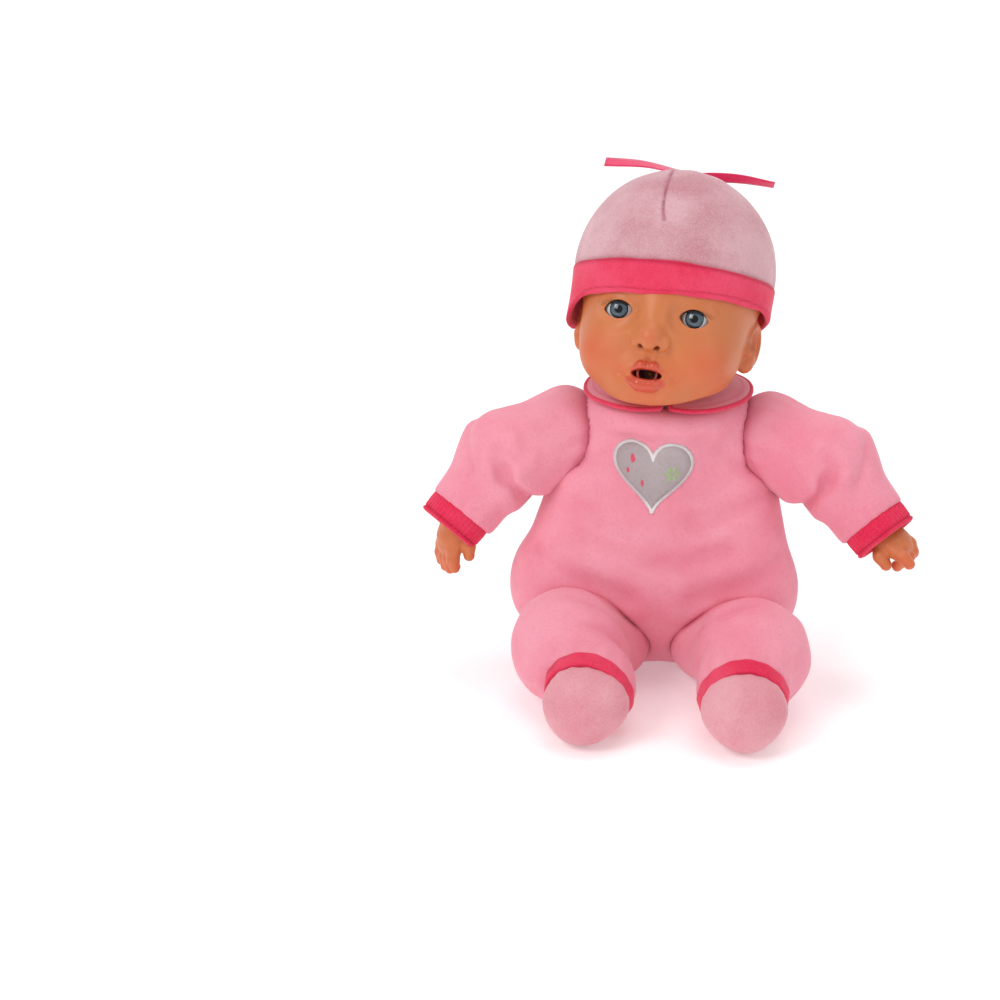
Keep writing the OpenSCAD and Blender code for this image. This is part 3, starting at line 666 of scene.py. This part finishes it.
def build_bow():
    tilt = rot("X", -22)
    to = lambda pts: from_head(np.asarray(pts) @ tilt.T)
    parts = []
    for s in (-1, 1):
        loop = curve([(0, 2, 56.0), (s * 7, 4, 58.6), (s * 14, 5, 58.8), (s * 16, 5, 57.0), (s * 12, 4, 55.2),
                      (s * 6, 3, 55.0), (0, 2, 55.0)], 26)
        c = v3(s * 9, 4, 56.8)
        parts.append(strip(loop, 6, 0.5, [(q - c) * (0.3, 0, 1) + v3(s * 0.01, 0, 0.001) for q in loop]))
    for path, width, normal in (
        ([(0, 0, 56.4), (-12, -1, 58.6), (-29, -2, 60.0), (-50, -2, 58.6)], 8.4, (0.1, -0.8, 0.6)),
        ([(0, 2, 56.2), (-10, 6, 56.6), (-20, 12, 54.6), (-28, 16, 50.6)], 6.0, (-0.2, -0.3, 0.9)),
        ([(0, 0, 56.6), (12, 1, 58.8), (26, 3, 60.6), (43, 6, 61.0)], 6.0, (0.1, 0.30, 0.95)),
    ):
        pts = curve(path, 18)
        twist = [np.array(normal) + v3(0, 0.25 * math.sin(i / 4), 0) for i in range(18)]
        parts.append(strip(pts, width, 0.5, twist))
    knot = lambda p: smin(egg(p, (0, 0, 56.3), (3.6, 3.4, 2.2)), 9, 1) + 0.25 * np.sin(p[:, 0] * 3)
    parts.append(surface(knot, spaced(-5, 5, 0.4), spaced(-5, 5, 0.4), spaced(52, 60, 0.4)))
    v, f = merged(parts)
    obj = make("cap_bow_ribbon", to(v), f, RIBBON, "cap", "ribbon", ("cap_bow",))


build_cap()
build_bow()

# ---------- romper ----------
SHOULDER, ELBOW, WRIST = v3(56, 2, 133), v3(88, -12, 121), v3(108, -24, 97)
HIP = {1: v3(30, -30, 22), -1: v3(-30, -30, 22)}
KNEE = {1: v3(50, -64, 31), -1: v3(-48, -62, 31)}
ANKLE = {1: v3(46, -95, 24), -1: v3(-34, -95, 24)}
TOE = {1: v3(48, -117, 18), -1: v3(-38, -117, 18)}


def torso_mass(p):
    q = mirror(p)
    d = string(q, [(29, 4, 134), (22, -2, 72), (25, 2, 36)], [24, 35.5, 36.5], 12)
    d = smin(d, cone(p, (-50, -10, 50), (40, -10, 50), 33, 33), 10)
    for x in (-50, 40):
        d = smin(d, cone(p, (x, -10, 50), (math.copysign(30, x), 3, 128), 33, 24.5), 8)
    d = smin(d, cone(q, (0, -8, 128), (0, -6, 60), 30, 36), 14)
    d = smin(d, cone(q, (0, 2, 134), (29, 4, 134), 24, 24), 8)
    d = smin(d, cone(q, (0, 2, 38), (25, 2, 38), 36.5, 36.5), 8)
    ring = np.hypot(np.hypot(p[:, 0], p[:, 1]) - 34, p[:, 2] - 150.5) - 8.2
    return smin(d, ring, 7)


def torso_folds(p):
    q = mirror(p)
    out = 0.9 * lumps(p, 75, 11) + 0.35 * lumps(p, 26, 12)
    for path, width, depth in (
        ([(54, -12, 108), (44, -26, 102), (30, -36, 98), (18, -39, 96)], 5.0, 1.5),
        ([(54, -14, 120), (46, -20, 122), (36, -26, 128), (30, -28, 136)], 4.4, 1.2),
        ([(12, -34, 152), (20, -33, 140), (26, -33, 126)], 4.5, 0.9),
        ([(66, -26, 74), (52, -38, 66), (34, -45, 60), (18, -44, 54)], 5.5, 1.6),
        ([(30, 30, 140), (34, 33, 118), (37, 33, 92), (38, 34, 64)], 5.5, 0.9),
    ):
        out = out - fold(q, curve(path, 12), width, depth, 0.5)
    out = out - fold(p, curve([(-52, -30, 84), (-26, -42, 76), (4, -44, 74), (36, -38, 82)], 12), 6.0, 1.2, 0.5)
    seam = np.abs(p[:, 0]) + 3 * (p[:, 2] > 112) * (p[:, 1] < 0) + 40 * (p[:, 1] < 0)
    return out - 0.5 * np.exp(-((seam / 0.9) ** 2))


def torso_field(p):
    d = torso_mass(p) - torso_folds(p)
    d = smax(d, 0.4 - p[:, 2], 7)
    d = smax(d, -np.maximum(np.hypot(p[:, 0], p[:, 1]) - 29.6, 143 - p[:, 2]), 2.0)
    for s in (1, -1):
        d = smax(d, -(leg_mass(p, s) + 0.2), 4)
    for s in (1, -1):
        c = SHOULDER * (s, 1, 1)
        d = smax(d, -ball(p, c, 25.5), 1.4)
        d = smax(d, -cone(p, c, c + v3(s * 30, -9, -9), 25.3, 26.4), 1.4)
    # The window in the back, with the module behind it
    bay = np.maximum.reduce([np.abs(p[:, 0]) - 27.2, np.abs(p[:, 2] - 86) - 28.2, 18 - p[:, 1]])
    return smax(d, -bay, 1.0)


def build_torso():
    v, f = surface(torso_field, spaced(-90, 80, 1.7), spaced(-52, 46, 1.7), spaced(-1, 162, 1.7))
    # Painted shade where the sleeves meet the body and in the body's folds.
    shoulder_seam = np.min([np.abs(ball(v, SHOULDER * (s, 1, 1), 26.4)) for s in (1, -1)], 0)
    mask = 0.55 * np.exp(-(shoulder_seam / 1.6) ** 2) * (v[:, 2] > 100)
    mask += 0.14 * np.clip(-torso_folds(v) - 0.2, 0, 1)
    obj = make("romper_body", v, f, SUIT, "torso", "suit", ("romper_torso", "torso_filling"),
               masks={"fold": np.clip(mask, 0, 1)})


def leg_frame(s):
    """Ankle, toe and the direction from one to the other."""
    a, t = ANKLE[s], TOE[s]
    u = (t - a) / np.linalg.norm(t - a)
    return a, t, u


def leg_mass(p, s):
    d = string(p, [HIP[s] + v3(s * 10, 4, 2), HIP[s] + v3(s * 12, 0, 2), KNEE[s], ANKLE[s]], [21, 22.5, 29, 22.6], 9)
    d = smin(d, cone(p, HIP[s] + v3(-s * 4, 0, 0), KNEE[s], 20, 27), 6)
    return smin(d, cone(p, ANKLE[s], TOE[s], 22.6, 17), 5)


def leg_folds(p, s):
    k, h, a = KNEE[s], HIP[s], ANKLE[s]
    thigh = (h + k) / 2
    out = 0.9 * lumps(p, 60, 20 + s) + 0.3 * lumps(p, 22, 24 + s)
    out = out + 0.5 * gathers(p, a, TOE[s] - a, 15, 7, -2, 2 + s)
    line = [h + v3(-s * 18, -12, 20), thigh + v3(-s * 10, -6, 27), k + v3(s * 4, 14, 27), k + v3(s * 18, 14, 20)]
    out = out - fold(p, curve(line, 12), 5.0, 1.8, 0.5)
    line = [h + v3(-s * 20, -22, 8), thigh + v3(-s * 18, -14, 16), k + v3(-s * 12, -4, 26), k + v3(0, -2, 29)]
    out = out - fold(p, curve(line, 12), 4.6, 1.3, 0.5)
    line = [a + v3(-s * 22, 14, 6), a + v3(-s * 8, 15, 26), a + v3(s * 12, 14, 24), a + v3(s * 20, 16, 10)]
    out = out - fold(p, curve(line, 12), 4.2, 1.0, 0.5)
    ridge = cone(p, h + v3(s * 33, 0, 8), k + v3(s * 28, -6, 4), 0, 0)
    return out + 0.3 * np.exp(-(ridge / 1.2) ** 2)


def leg_cover_field(p, s):
    a, _, u = leg_frame(s)
    ahead = (p - a) @ u
    d = leg_mass(p, s) - leg_folds(p, s)
    d = smax(d, 0.3 - p[:, 2], 6)
    d = smax(d, ahead - 3.6, 3)
    return smax(d, 0.5 - p[:, 0] * s, 4)


def trim_field(p, s):
    a, t, u = leg_frame(s)
    ahead = (p - a) @ u
    side = np.arctan2((p - a)[:, 2], (p - a)[:, 0])
    d = np.abs(cone(p, a, t, 24.0, 18.6) + 1.6) - 2.8 - 0.2 * np.sin(14 * side)
    d = smax(d, np.abs(ahead - 6.8 - 0.5 * np.sin(3 * side)) - 4.5, 2.0)
    return smax(d, 0.3 - p[:, 2], 2)


def foot_field(p, s):
    a, t, u = leg_frame(s)
    ahead = (p - a) @ u
    d = cone(p, a, t, 22.9, 17)
    d = smin(d, egg(p, t + v3(3 if s < 0 else -1, 2, 4.5), (22.5, 16.5, 18)), 6) - 0.5 * lumps(p, 34, 31 + s)
    d = d - 0.3 * gathers(p, a, t - a, 18, 5, 9, s)
    d = smax(d, 8.6 - ahead, 3)
    d = d + fold(p, [a + u * 14 + v3(-20, 0, 8), a + u * 14 + v3(0, 0, 22)], 2.4, 0.4)
    return smax(d, 0.3 - p[:, 2], 5)


def build_leg(s, word):
    body = word + "_leg"
    lo, hi = np.minimum(HIP[s], KNEE[s]) - 40, np.maximum(HIP[s], KNEE[s]) + 40
    v, f = surface(lambda p: leg_cover_field(p, s),
                   spaced(lo[0], hi[0], 1.6), spaced(-108, 2, 1.6), spaced(-1, 68, 1.6))
    # Painted shade in the leg's folds and where the leg meets the body.
    mask = np.clip(-leg_folds(v, s) - 0.3, 0, 1) * 0.14
    mask += 0.6 * np.exp(-(np.abs(torso_mass(v)) / 2.2) ** 2) * (v[:, 2] > 20)
    cover = make(word + "_leg_velour", v, f, SUIT, None, "suit", (body + "_cover", body + "_filling"),
                 masks={"fold": np.clip(mask, 0, 1)})
    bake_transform(cover)
    a, t, u = leg_frame(s)
    box = [spaced(a[i] - 28 + min(0, (t - a)[i]), a[i] + 28 + max(0, (t - a)[i]), 1.3) for i in range(3)]
    box[2] = spaced(-1, 52, 1.3)
    v, f = surface(lambda p: trim_field(p, s), *[spaced(b[0], b[-1], 0.8) for b in box[:2]], spaced(-1, 52, 0.8))
    # Painted shade where the rib meets the leg's cloth.
    trim = make(word + "_foot_rib", v, f, HOT, body, "trim", (word + "_foot_trim",),
                masks={"fold": 0.5 * np.exp(-((leg_mass(v, s) - 0.1) / 0.6) ** 2)})
    v, f = surface(lambda p: foot_field(p, s), *box)
    ahead = (v - a) @ u
    # Painted shade where the foot goes in under the rib.
    foot = make(word + "_foot_velour", v, f, DUSTY, body, "suit_light", (word + "_foot",),
                masks={"fold": 0.6 * np.exp(-((ahead - 10) / 1.6) ** 2)})


# ---------- arms ----------
def arm_matrix(s):
    """World from the arm's own frame, whose wrist direction and places are those of the left side."""
    return np.diag([s, 1.0, 1.0]) @ (rot("Y", -3) if s > 0 else np.eye(3))


def to_world(p, s):
    return (np.asarray(p) - SHOULDER) @ arm_matrix(s).T + SHOULDER * (s, 1, 1)


FORE = (WRIST - ELBOW) / np.linalg.norm(WRIST - ELBOW)


def sleeve_mass(p):
    return string(p, [SHOULDER, ELBOW, WRIST, WRIST + 6 * FORE], [25, 24.4, 17.2, 16.4], 10)


def gathers(p, centre, axis, count, reach, start, seed=0):
    """Small pleats round an axis that die out from a seam at start along it."""
    axis = axis / np.linalg.norm(axis)
    side = np.cross(axis, [0, 0.3, 1.0])
    side /= np.linalg.norm(side)
    q = p - centre
    a = np.arctan2(q @ np.cross(axis, side), q @ side)
    uneven = 0.6 + 0.4 * np.sin(3 * a + seed)
    away = (q @ axis - start) / reach
    return uneven * np.sin(count * a + 1.3 * np.sin(2 * a + seed)) * np.exp(-(away**2))


def sleeve_folds(p):
    out = 0.7 * lumps(p, 48, 41) + 0.3 * lumps(p, 18, 42)
    out = out + 0.45 * gathers(p, SHOULDER, ELBOW - SHOULDER, 15, 9, 3, 1)
    out = out + 0.55 * gathers(p, WRIST, FORE, 16, 7, 4, 2)
    inner = ELBOW + v3(-13, -8, -20)
    line = [inner + v3(-6, 18, 4), inner + v3(-2, 0, -1), inner + v3(5, -12, 9),
            ELBOW + v3(2, -25, 6), ELBOW + v3(-2, -25, 14)]
    out = out - fold(p, curve(line, 14), 4.2, 3.4, 0.45)
    line = [ELBOW + v3(-16, -22, 20), ELBOW + v3(-8, -24, 8), ELBOW + v3(0, -24, -4), ELBOW + v3(2, -18, -16)]
    out = out - fold(p, curve(line, 12), 4.4, 1.5, 0.5)
    line = [SHOULDER + v3(2, -22, 14), SHOULDER + v3(12, -26, 4),
            SHOULDER + v3(14, -24, -10), SHOULDER + v3(10, -14, -22)]
    out = out - fold(p, curve(line, 12), 4.8, 1.3, 0.5)
    line = [ELBOW + v3(12, 14, 20), ELBOW + v3(16, 0, 19), ELBOW + v3(18, -14, 10), ELBOW + v3(14, -22, 0)]
    out = out - fold(p, curve(line, 12), 4.0, 1.1, 0.5)
    ridge = cone(p, SHOULDER + v3(0, 4, 25), ELBOW + v3(6, 6, 25.6), 0, 0)
    return out + 0.3 * np.exp(-(ridge / 1.1) ** 2)


def sleeve_field(p):
    d = sleeve_mass(p) - sleeve_folds(p)
    return smax(d, (p - WRIST) @ FORE - 5.2, 2.2)


def lathe(origin, axis, profile, n, wobble):
    """Closed surface of revolution through (along, radius) points, with the radius uneven by wobble."""
    axis = axis / np.linalg.norm(axis)
    x = np.cross(axis, [0, 0, 1.0])
    x = x / np.linalg.norm(x) if np.linalg.norm(x) > 0.1 else v3(1, 0, 0)
    y = np.cross(axis, x)
    a = np.linspace(0, 2 * np.pi, n, endpoint=False)
    loops = []
    for s, r in profile:
        rr = r + wobble(a, r)
        loops.append(origin + s * axis + rr[:, None] * (np.cos(a)[:, None] * x + np.sin(a)[:, None] * y))
    return rings(loops)


def hand_field(bend, curl, spread, left):
    """Hand along z from its neck: bend at the wrist, curl of the fingers and spread between them."""
    tilt = rot("Y", bend)

    def field(p):
        d = smin(np.maximum(np.hypot(p[:, 0], p[:, 1]) - 8, np.abs(p[:, 2]) - 9), ball(p, (0, 0, 9), 9.2), 2)
        q = (p - v3(0, 0, 9)) @ tilt
        d = smin(d, egg(q, (0.4, 0, 9.5), (7.6, 11.2, 12.5)), 3)
        for k in range(4):
            base = v3(0.2, (k - 1.5) * 4.9, 17.5)
            yaw = rot("X", -(k - 1.5) * spread * (1 if k else 1.5))
            long = (8.2, 10.4, 10.8, 9.4)[k] if not left else (9, 10.6, 10.6, 8.6)[k]
            c0, c1 = math.radians(curl * 0.55), math.radians(curl)
            if left and k == 0:
                c0, c1 = math.radians(-8), math.radians(4)
            d1 = yaw @ v3(math.sin(c0), 0, math.cos(c0))
            d2 = yaw @ v3(math.sin(c1 * 1.35), 0, math.cos(c1 * 1.35))
            p1 = base + d1 * long * 0.55
            p2 = p1 + d2 * long * 0.55
            finger = string(q, [base - v3(0, 0, 4), base, p1, p2], [3.9, 3.7, 3.4, 2.9], 1.6)
            nail_at = p2 - 1.9 * np.cross(d2, yaw @ v3(0, 1, 0))
            nail = egg(q, nail_at, (1.5, 1.7, 1.9), rot("Y", -math.degrees(c1)))
            finger = smin(finger, nail, 0.4)
            d = smin(d, finger, 1.1)
        thumb = string(q, [(3.5, -6.5, 7.5), (6.4, -10.2, 12), (8.4, -10.6, 17.2)], [4.4, 3.8, 3.1], 2)
        d = smin(d, thumb, 1.6)
        # Creases of the palm, the wrist and the knuckles
        palm = fold(q, [(7, -5, 6), (7.6, 2, 9), (7, 8, 14)], 1.0, 0.5)
        d = d + palm + fold(p, [(8, -7, 4.5), (9.5, 0, 4.5), (8, 7, 4.5)], 0.9, 0.6)
        return d + fold(q, [(-7, -6, 16), (-7, 7, 16)], 1.6, 0.35)

    return field


def along(direction):
    """Turn that brings z onto a direction."""
    d = direction / np.linalg.norm(direction)
    return rot("Z", math.degrees(math.atan2(d[1], d[0]))) @ rot("Y", math.degrees(math.acos(d[2])))


def cuff_rib(a, r):
    return (0.22 if r > 16.5 else 0.1) * np.cos(44 * a) + 0.3 * np.sin(2 * a + 1) + 0.2 * np.sin(5 * a)


def build_arm(s, word):
    body, hand = word + "_arm", word + "_hand"
    turned = lambda f: f if s > 0 else [q[::-1] for q in f]
    v, f = surface(sleeve_field, spaced(28, 130, 1.5), spaced(-54, 32, 1.5), spaced(74, 162, 1.5))
    # Painted shade in the sleeve's folds and where it meets the body.
    mask = np.clip(-sleeve_folds(v) - 0.25, 0, 1) * 0.12
    mask = mask + 0.5 * np.exp(-(torso_mass(v) / 2.5) ** 2)
    sleeve = make(word + "_sleeve_velour", to_world(v, s), turned(f), SUIT, body, "suit",
                  (word + "_sleeve", word + "_arm_filling"), masks={"fold": np.clip(mask, 0, 1)})
    prof = [(3.6, 15.4), (4.0, 17.0), (5.0, 17.9), (8, 18.1), (11, 17.9), (13.4, 17.8), (13.9, 17.4), (14.5, 17.4),
            (15.2, 18.0), (16.2, 17.6), (16.8, 16.2), (16.2, 14.6), (12, 14.2), (6, 14.0), (4, 14.2)]
    v, f = lathe(WRIST, FORE, prof, 264, cuff_rib)
    # Painted shade in the groove near the cuff's end.
    cuff = make(word + "_cuff_rib", to_world(v, s), turned([q[::-1] for q in f]), HOT, body, "trim", (word + "_cuff",),
                masks={"fold": 0.6 * np.exp(-(((v - WRIST) @ FORE - 14.2) / 0.6) ** 2)})
    turn = along(FORE)
    field = hand_field(-16, 75, 3, True) if s > 0 else hand_field(26, 18, 5, False)
    v, f = surface(field, spaced(-13, 24, 0.6), spaced(-18, 16, 0.6), spaced(-10, 46, 0.6))
    p = v @ turn.T + WRIST
    blush = 0.4 * soft_step(v[:, 2], 22, 36) + 0.15
    make(word + "_hand_vinyl", to_world(p, s), turned(f), SKIN, hand, "skin", (hand,),
         masks={"blush": blush, "lip": 0 * blush, "dark": 0 * blush})


# ---------- collar, neck and motif ----------
def build_collar(s, word):
    """Half collar as a thick sheet that rises to the neck, with piping along its free edge."""
    na, nr = 64, 12
    ang = np.radians(np.linspace(-86, 86, na))
    rows_top, rows_low, edge = [], [], []
    for i, a in enumerate(ang):
        end = min(i, na - 1 - i) / 7
        outer = 44.6 - 5.5 * math.exp(-end * 1.3)
        wave = 0.8 * math.sin(3 * a + 0.6 * s) + 0.4 * math.sin(7 * a)
        top, low = [], []
        for j in range(nr):
            u = j / (nr - 1)
            r = 30.8 + (outer - 30.8) * u
            z = 162.6 - 1.2 * u + 1.6 * (1 - u) ** 2 + 0.5 * wave * u - 0.8 * u**3
            direction = v3(s * math.cos(a), math.sin(a), 0)
            top.append(direction * r + v3(0, 0, z + 0.9))
            low.append(direction * r + v3(0, 0, z - 0.9))
        rows_top.append(top)
        rows_low.append(low)
        edge.append((np.array(top[-1]) + low[-1]) / 2 + v3(s * math.cos(a), math.sin(a), 0) * 0.5)
    loops = [np.array(t + l[::-1]) for t, l in zip(rows_top, rows_low)]
    v, f = rings(loops, closed=False, caps=True)
    if s < 0:
        f = [q[::-1] for q in f]
    r = np.hypot(v[:, 0], v[:, 1])
    collar = make(word + "_collar_velour", v, f, SUIT, "torso", "suit", (word + "_collar",),
                  masks={"fold": 0.5 * np.exp(-((r - 40.5) / 0.8) ** 2)})
    ends = [np.array(rows_top[0][6]), np.array(rows_top[-1][6])]
    path = [ends[0] - v3(0, 1.0, 0.9)] + edge + [ends[1] + v3(0, 1.0, -0.9)]
    make(word + "_collar_cord", *sweep(curve(path, 110), 1.25, 12), HOT, "torso", "trim", (word + "_collar_piping",))


def neck_pleats(a, r):
    return 0.35 * np.cos(26 * a) * (1 if r > 22.9 else 0.2) + 0.2 * np.sin(5 * a)


def build_neck():
    prof = [(151.4, 23.6), (152.4, 24.6), (154.5, 24.9), (156.5, 23.7), (159.5, 23.7), (161.6, 24.9), (164, 24.9),
            (165.6, 24.2), (165.8, 23.2), (165, 22.5), (152, 22.4)]
    v, f = lathe(v3(0, 0, 0), v3(0, 0, 1), prof, 208, neck_pleats)
    obj = make("neck_casing_cloth", v, [q[::-1] for q in f], SUIT, "neck", "suit", ("neck_casing",))


build_torso()
for s, w in ((1, "left"), (-1, "right")):
    build_leg(s, w)
    build_arm(s, w)
    build_collar(s, w)
build_neck()

# ---------- chest motif: a felt heart in satin stitch, with a small flower ----------
FELT = cloth("motif_felt", rgb(168, 156, 158), rgb(120, 108, 112), rgb(196, 186, 188), 1.6, 0.2).m
THREAD = {}
for name, tone in (("white", rgb(238, 234, 234)), ("green", rgb(168, 204, 130)), ("rose", rgb(226, 78, 108))):
    k = Mat("thread_" + name, Roughness=0.38, Sheen_Weight=0.2)
    k.color(k.mix(k.ramp(k.noise(2600, 1), 0.4, 0.6, 0, 0.25), tone, tuple(0.6 * c for c in tone[:3]) + (1,)))
    THREAD[name] = k.m


HEART_AT = v3(-6, 124.5)


def heart(n, size):
    """Outline of the heart on the chest, from its point round."""
    a = np.linspace(0, 2 * np.pi, n, endpoint=False) + np.pi
    x = 16 * np.sin(a) ** 3
    z = 13 * np.cos(a) - 5 * np.cos(2 * a) - 2 * np.cos(3 * a) - np.cos(4 * a)
    return HEART_AT + size * np.stack([x, z], 1)


def on_torso(xz, lift, face=-1):
    """Points of the torso's front, or back with face=1, at x and z, raised off the cloth by lift."""
    lo, hi = np.full(len(xz), face * 60.0), np.full(len(xz), face * 10.0)
    at = lambda y: np.stack([xz[:, 0], y, xz[:, 1]], 1)
    for _ in range(26):
        mid = (lo + hi) / 2
        out = torso_field(at(mid).astype(np.float32)) > 0
        lo, hi = np.where(out, mid, lo), np.where(out, hi, mid)
    return at(hi + face * lift)


def satin(outline, width, seed, close=True):
    """Satin stitches side by side across an outline of points in x and z."""
    rng = np.random.default_rng(seed)
    t = np.roll(outline, -1, 0) - np.roll(outline, 1, 0) if close else np.gradient(outline, axis=0)
    t /= np.linalg.norm(t, axis=1, keepdims=True)
    out = np.stack([t[:, 1], -t[:, 0]], 1)
    half = (np.asarray(width) / 2 * (1 + rng.uniform(-0.1, 0.1, len(outline))))[:, None]
    arch = ((-1, 0.1), (-0.5, 0.75), (0, 1.0), (0.5, 0.75), (1, 0.1))
    rows = [on_torso(outline + u * half * out, lift) for u, lift in arch]
    return merged([sweep([row[i] for row in rows], 0.24, 5) for i in range(len(outline))])


def build_motif():
    edge = heart(120, 1.27)
    loops = []
    for share in (1.0, 0.8, 0.6, 0.4, 0.25, 0.12):
        loops.append(on_torso(HEART_AT + (edge - HEART_AT) * share, 0.55))
    v, f = rings(loops, closed=False)
    f = [q[::-1] for q in f] + [tuple(range(600, 720))[::-1]]
    base = make("motif_heart_felt", v, f, FELT, "torso", "patch", ("chest_patch",))
    solid = base.modifiers.new("thickness", "SOLIDIFY")
    solid.thickness, solid.offset = 0.0007, 0
    border = satin(heart(300, 1.30), 2.2, 1)
    make("motif_border_stitches", *border, THREAD["white"], "torso", "patch")
    petals = []
    for i in range(6):
        a = i * math.pi / 3
        line = np.array([[4.5 + r * math.cos(a), 124 + r * math.sin(a)] for r in np.linspace(1.0, 4.2, 9)])
        petals.append(satin(line, 2.6 * np.sin(np.linspace(0.35, 2.9, 9)), 3 + i, close=False))
    make("motif_flower_stitches", *merged(petals), THREAD["green"], "torso", "patch")
    dots = []
    for cx, cz, size in ((-17, 131, 2.2), (-11.5, 118, 1.7), (-19.5, 124, 1.4)):
        line = np.array([[cx, cz + u * size] for u in np.linspace(-1, 1, int(7 * size))])
        wide = 2 * size * np.sqrt(1.05 - np.linspace(-1, 1, len(line)) ** 2)
        dots.append(satin(line, wide, int(cz), close=False))
    make("motif_dot_stitches", *merged(dots), THREAD["rose"], "torso", "patch")


def build_window():
    """Bound edge of the window in the back, and the top-stitching of the back's seam."""
    hw, z0, z1, c = 28.4, 56.6, 115.4, 4.5
    path = []
    for cx, cz, a0 in ((hw - c, z1 - c, 0), (-hw + c, z1 - c, 90), (-hw + c, z0 + c, 180), (hw - c, z0 + c, 270)):
        path += [(cx + c * math.cos(t), cz + c * math.sin(t)) for t in np.radians(np.linspace(a0, a0 + 90, 8))]
    path = np.array(path)
    dense = np.concatenate([np.linspace(a, b, 6)[:-1] for a, b in zip(path, np.roll(path, -1, 0))])
    v, f = sweep(on_torso(dense, 0.2, 1), 1.35, 10, 0.75, closed=True)
    obj = make("back_window_binding", v, f, HOT, "torso", "trim")
    stitches = []
    for x in (-2.4, 2.4):
        for z in np.arange(118, 146, 2.6):
            ends = on_torso(np.array([[x, z], [x, z + 0.9], [x, z + 1.8]]), 0.15, 1)
            stitches.append(sweep(ends, 0.2, 5))
    make("back_seam_stitches", *merged(stitches), THREAD["rose"], "torso", "suit")


build_motif()
build_window()


# ---------- materials of the CAD parts that are kept ----------
def plastic(name, base, other, rough=0.35, scale=60, grain=0.05, metal=0.0):
    m = Mat(name, Metallic=metal)
    m.color(m.mix(m.ramp(m.noise(scale, 3), 0.35, 0.65), base, other))
    m.rough(m.ramp(m.noise(scale * 3, 2), 0.3, 0.7, rough - 0.06, rough + 0.08))
    m.bump(m.noise(1800, 2), grain, 0.0002)
    return m.m


CASE = plastic("case_plastic", rgb(236, 234, 228), rgb(228, 226, 220), 0.42, grain=0.2)
DARK = plastic("black_plastic", rgb(28, 28, 30), rgb(38, 38, 40), 0.4)
STEEL = plastic("steel_wire", rgb(178, 180, 184), rgb(150, 152, 158), 0.28, 200, 0.05, 1.0)
THROAT = plastic("throat_plastic", rgb(176, 66, 50), rgb(140, 48, 38), 0.5)
MATERIALS = {
    "case_front": CASE, "case_back": CASE, "battery_door": CASE, "neck_plug": CASE,
    "left_eye_case": CASE, "right_eye_case": CASE,
    "power_switch_knob": DARK, "speaker": DARK, "mouth_switch": DARK, "mouth_plunger": THROAT,
    "mouth_tube": THROAT, "mouth_spring": STEEL, "belly_button_spring": STEEL,
    "case_screws": STEEL, "battery_door_screw": STEEL, "battery_contacts": STEEL,
    "belly_button": plastic("button_plastic", rgb(226, 44, 92), rgb(214, 36, 82), 0.35),
    "circuit_board": plastic("board_laminate", rgb(24, 92, 52), rgb(16, 74, 42), 0.4, 300),
    "batteries": plastic("cell_sleeves", rgb(52, 84, 74), rgb(40, 66, 60), 0.35),
    "sensor_lead": plastic("lead_sleeve", rgb(168, 44, 40), rgb(148, 34, 32), 0.5),
    "neck_tie": plastic("nylon_tie", rgb(232, 230, 224), rgb(222, 220, 214), 0.45),
    "left_wrist_tie": plastic("nylon_tie_left", rgb(232, 230, 224), rgb(222, 220, 214), 0.45),
    "right_wrist_tie": plastic("nylon_tie_right", rgb(232, 230, 224), rgb(222, 220, 214), 0.45),
    "left_eye_weight": STEEL, "right_eye_weight": STEEL,
    "left_eyelid": SKIN, "right_eyelid": SKIN,
}
for node, material in MATERIALS.items():
    for i in range(max(1, len(NODES[node].material_slots))):
        if NODES[node].material_slots:
            NODES[node].material_slots[i].material = material
        else:
            NODES[node].data.materials.append(material)

# Small contact at the back of the mouth
BEAD = plastic("bead_brass", rgb(214, 160, 60), rgb(190, 132, 44), 0.3)
bead = lambda p: egg(p, (0, -38.0, LIP_Z), (1.2, 1.0, 1.2))
v, f = surface(bead, spaced(-2, 2, 0.3), spaced(-40, -36, 0.3), spaced(LIP_Z - 2, LIP_Z + 2, 0.3))
make("mouth_contact_bead", from_head(v), f, BEAD, "mouth_plunger", "brass")

# ---------- stage and lights ----------
k = Mat("studio_paper", Roughness=0.9)
k.color(k.mix(k.noise(3), (0.93, 0.93, 0.93, 1), (0.95, 0.95, 0.95, 1)))
k.b.inputs["Emission Color"].default_value = (1, 1, 1, 1)
k.b.inputs["Emission Strength"].default_value = 0.22
turn = [(0.9 + 0.6 * math.sin(a), 0.6 - 0.6 * math.cos(a)) for a in np.linspace(0, math.pi / 2, 24)]
sweep_pts = [(-4, 0.0), (-1, 0.0), *turn, (1.5, 3.0)]
verts = [(x, y, z) for y, z in sweep_pts for x in (-4, 4)]
mesh = bpy.data.meshes.new("paper")
mesh.from_pydata(verts, [], [(2 * i, 2 * i + 1, 2 * i + 3, 2 * i + 2) for i in range(len(sweep_pts) - 1)])
mesh.shade_smooth()
mesh.materials.append(k.m)
paper = bpy.data.objects.new("paper", mesh)
bpy.context.scene.collection.objects.link(paper)

world = bpy.data.worlds.new("studio")
bpy.context.scene.world = world
world.use_nodes = True
world.node_tree.nodes["Background"].inputs[0].default_value = (1, 1, 1, 1)
world.node_tree.nodes["Background"].inputs[1].default_value = 0.5
for name, at, size, power, shape in (
    ("key", (-0.9, -1.1, 1.2), 0.7, 10.5, 1.0),
    ("fill", (1.3, -0.8, 0.8), 0.9, 3.2, 1.0),
    ("top", (0.1, 0.1, 1.6), 1.0, 6.5, 1.0),
):
    data = bpy.data.lights.new(name, "AREA")
    data.size, data.energy = size, power
    lamp = bpy.data.objects.new(name, data)
    aim_at = (Vector((0, 0, 0.1)) - Vector(at)).to_track_quat("-Z", "Y")
    lamp.matrix_world = Matrix.Translation(at) @ aim_at.to_matrix().to_4x4()
    bpy.context.scene.collection.objects.link(lamp)
bpy.context.scene.view_settings.view_transform = "Standard"
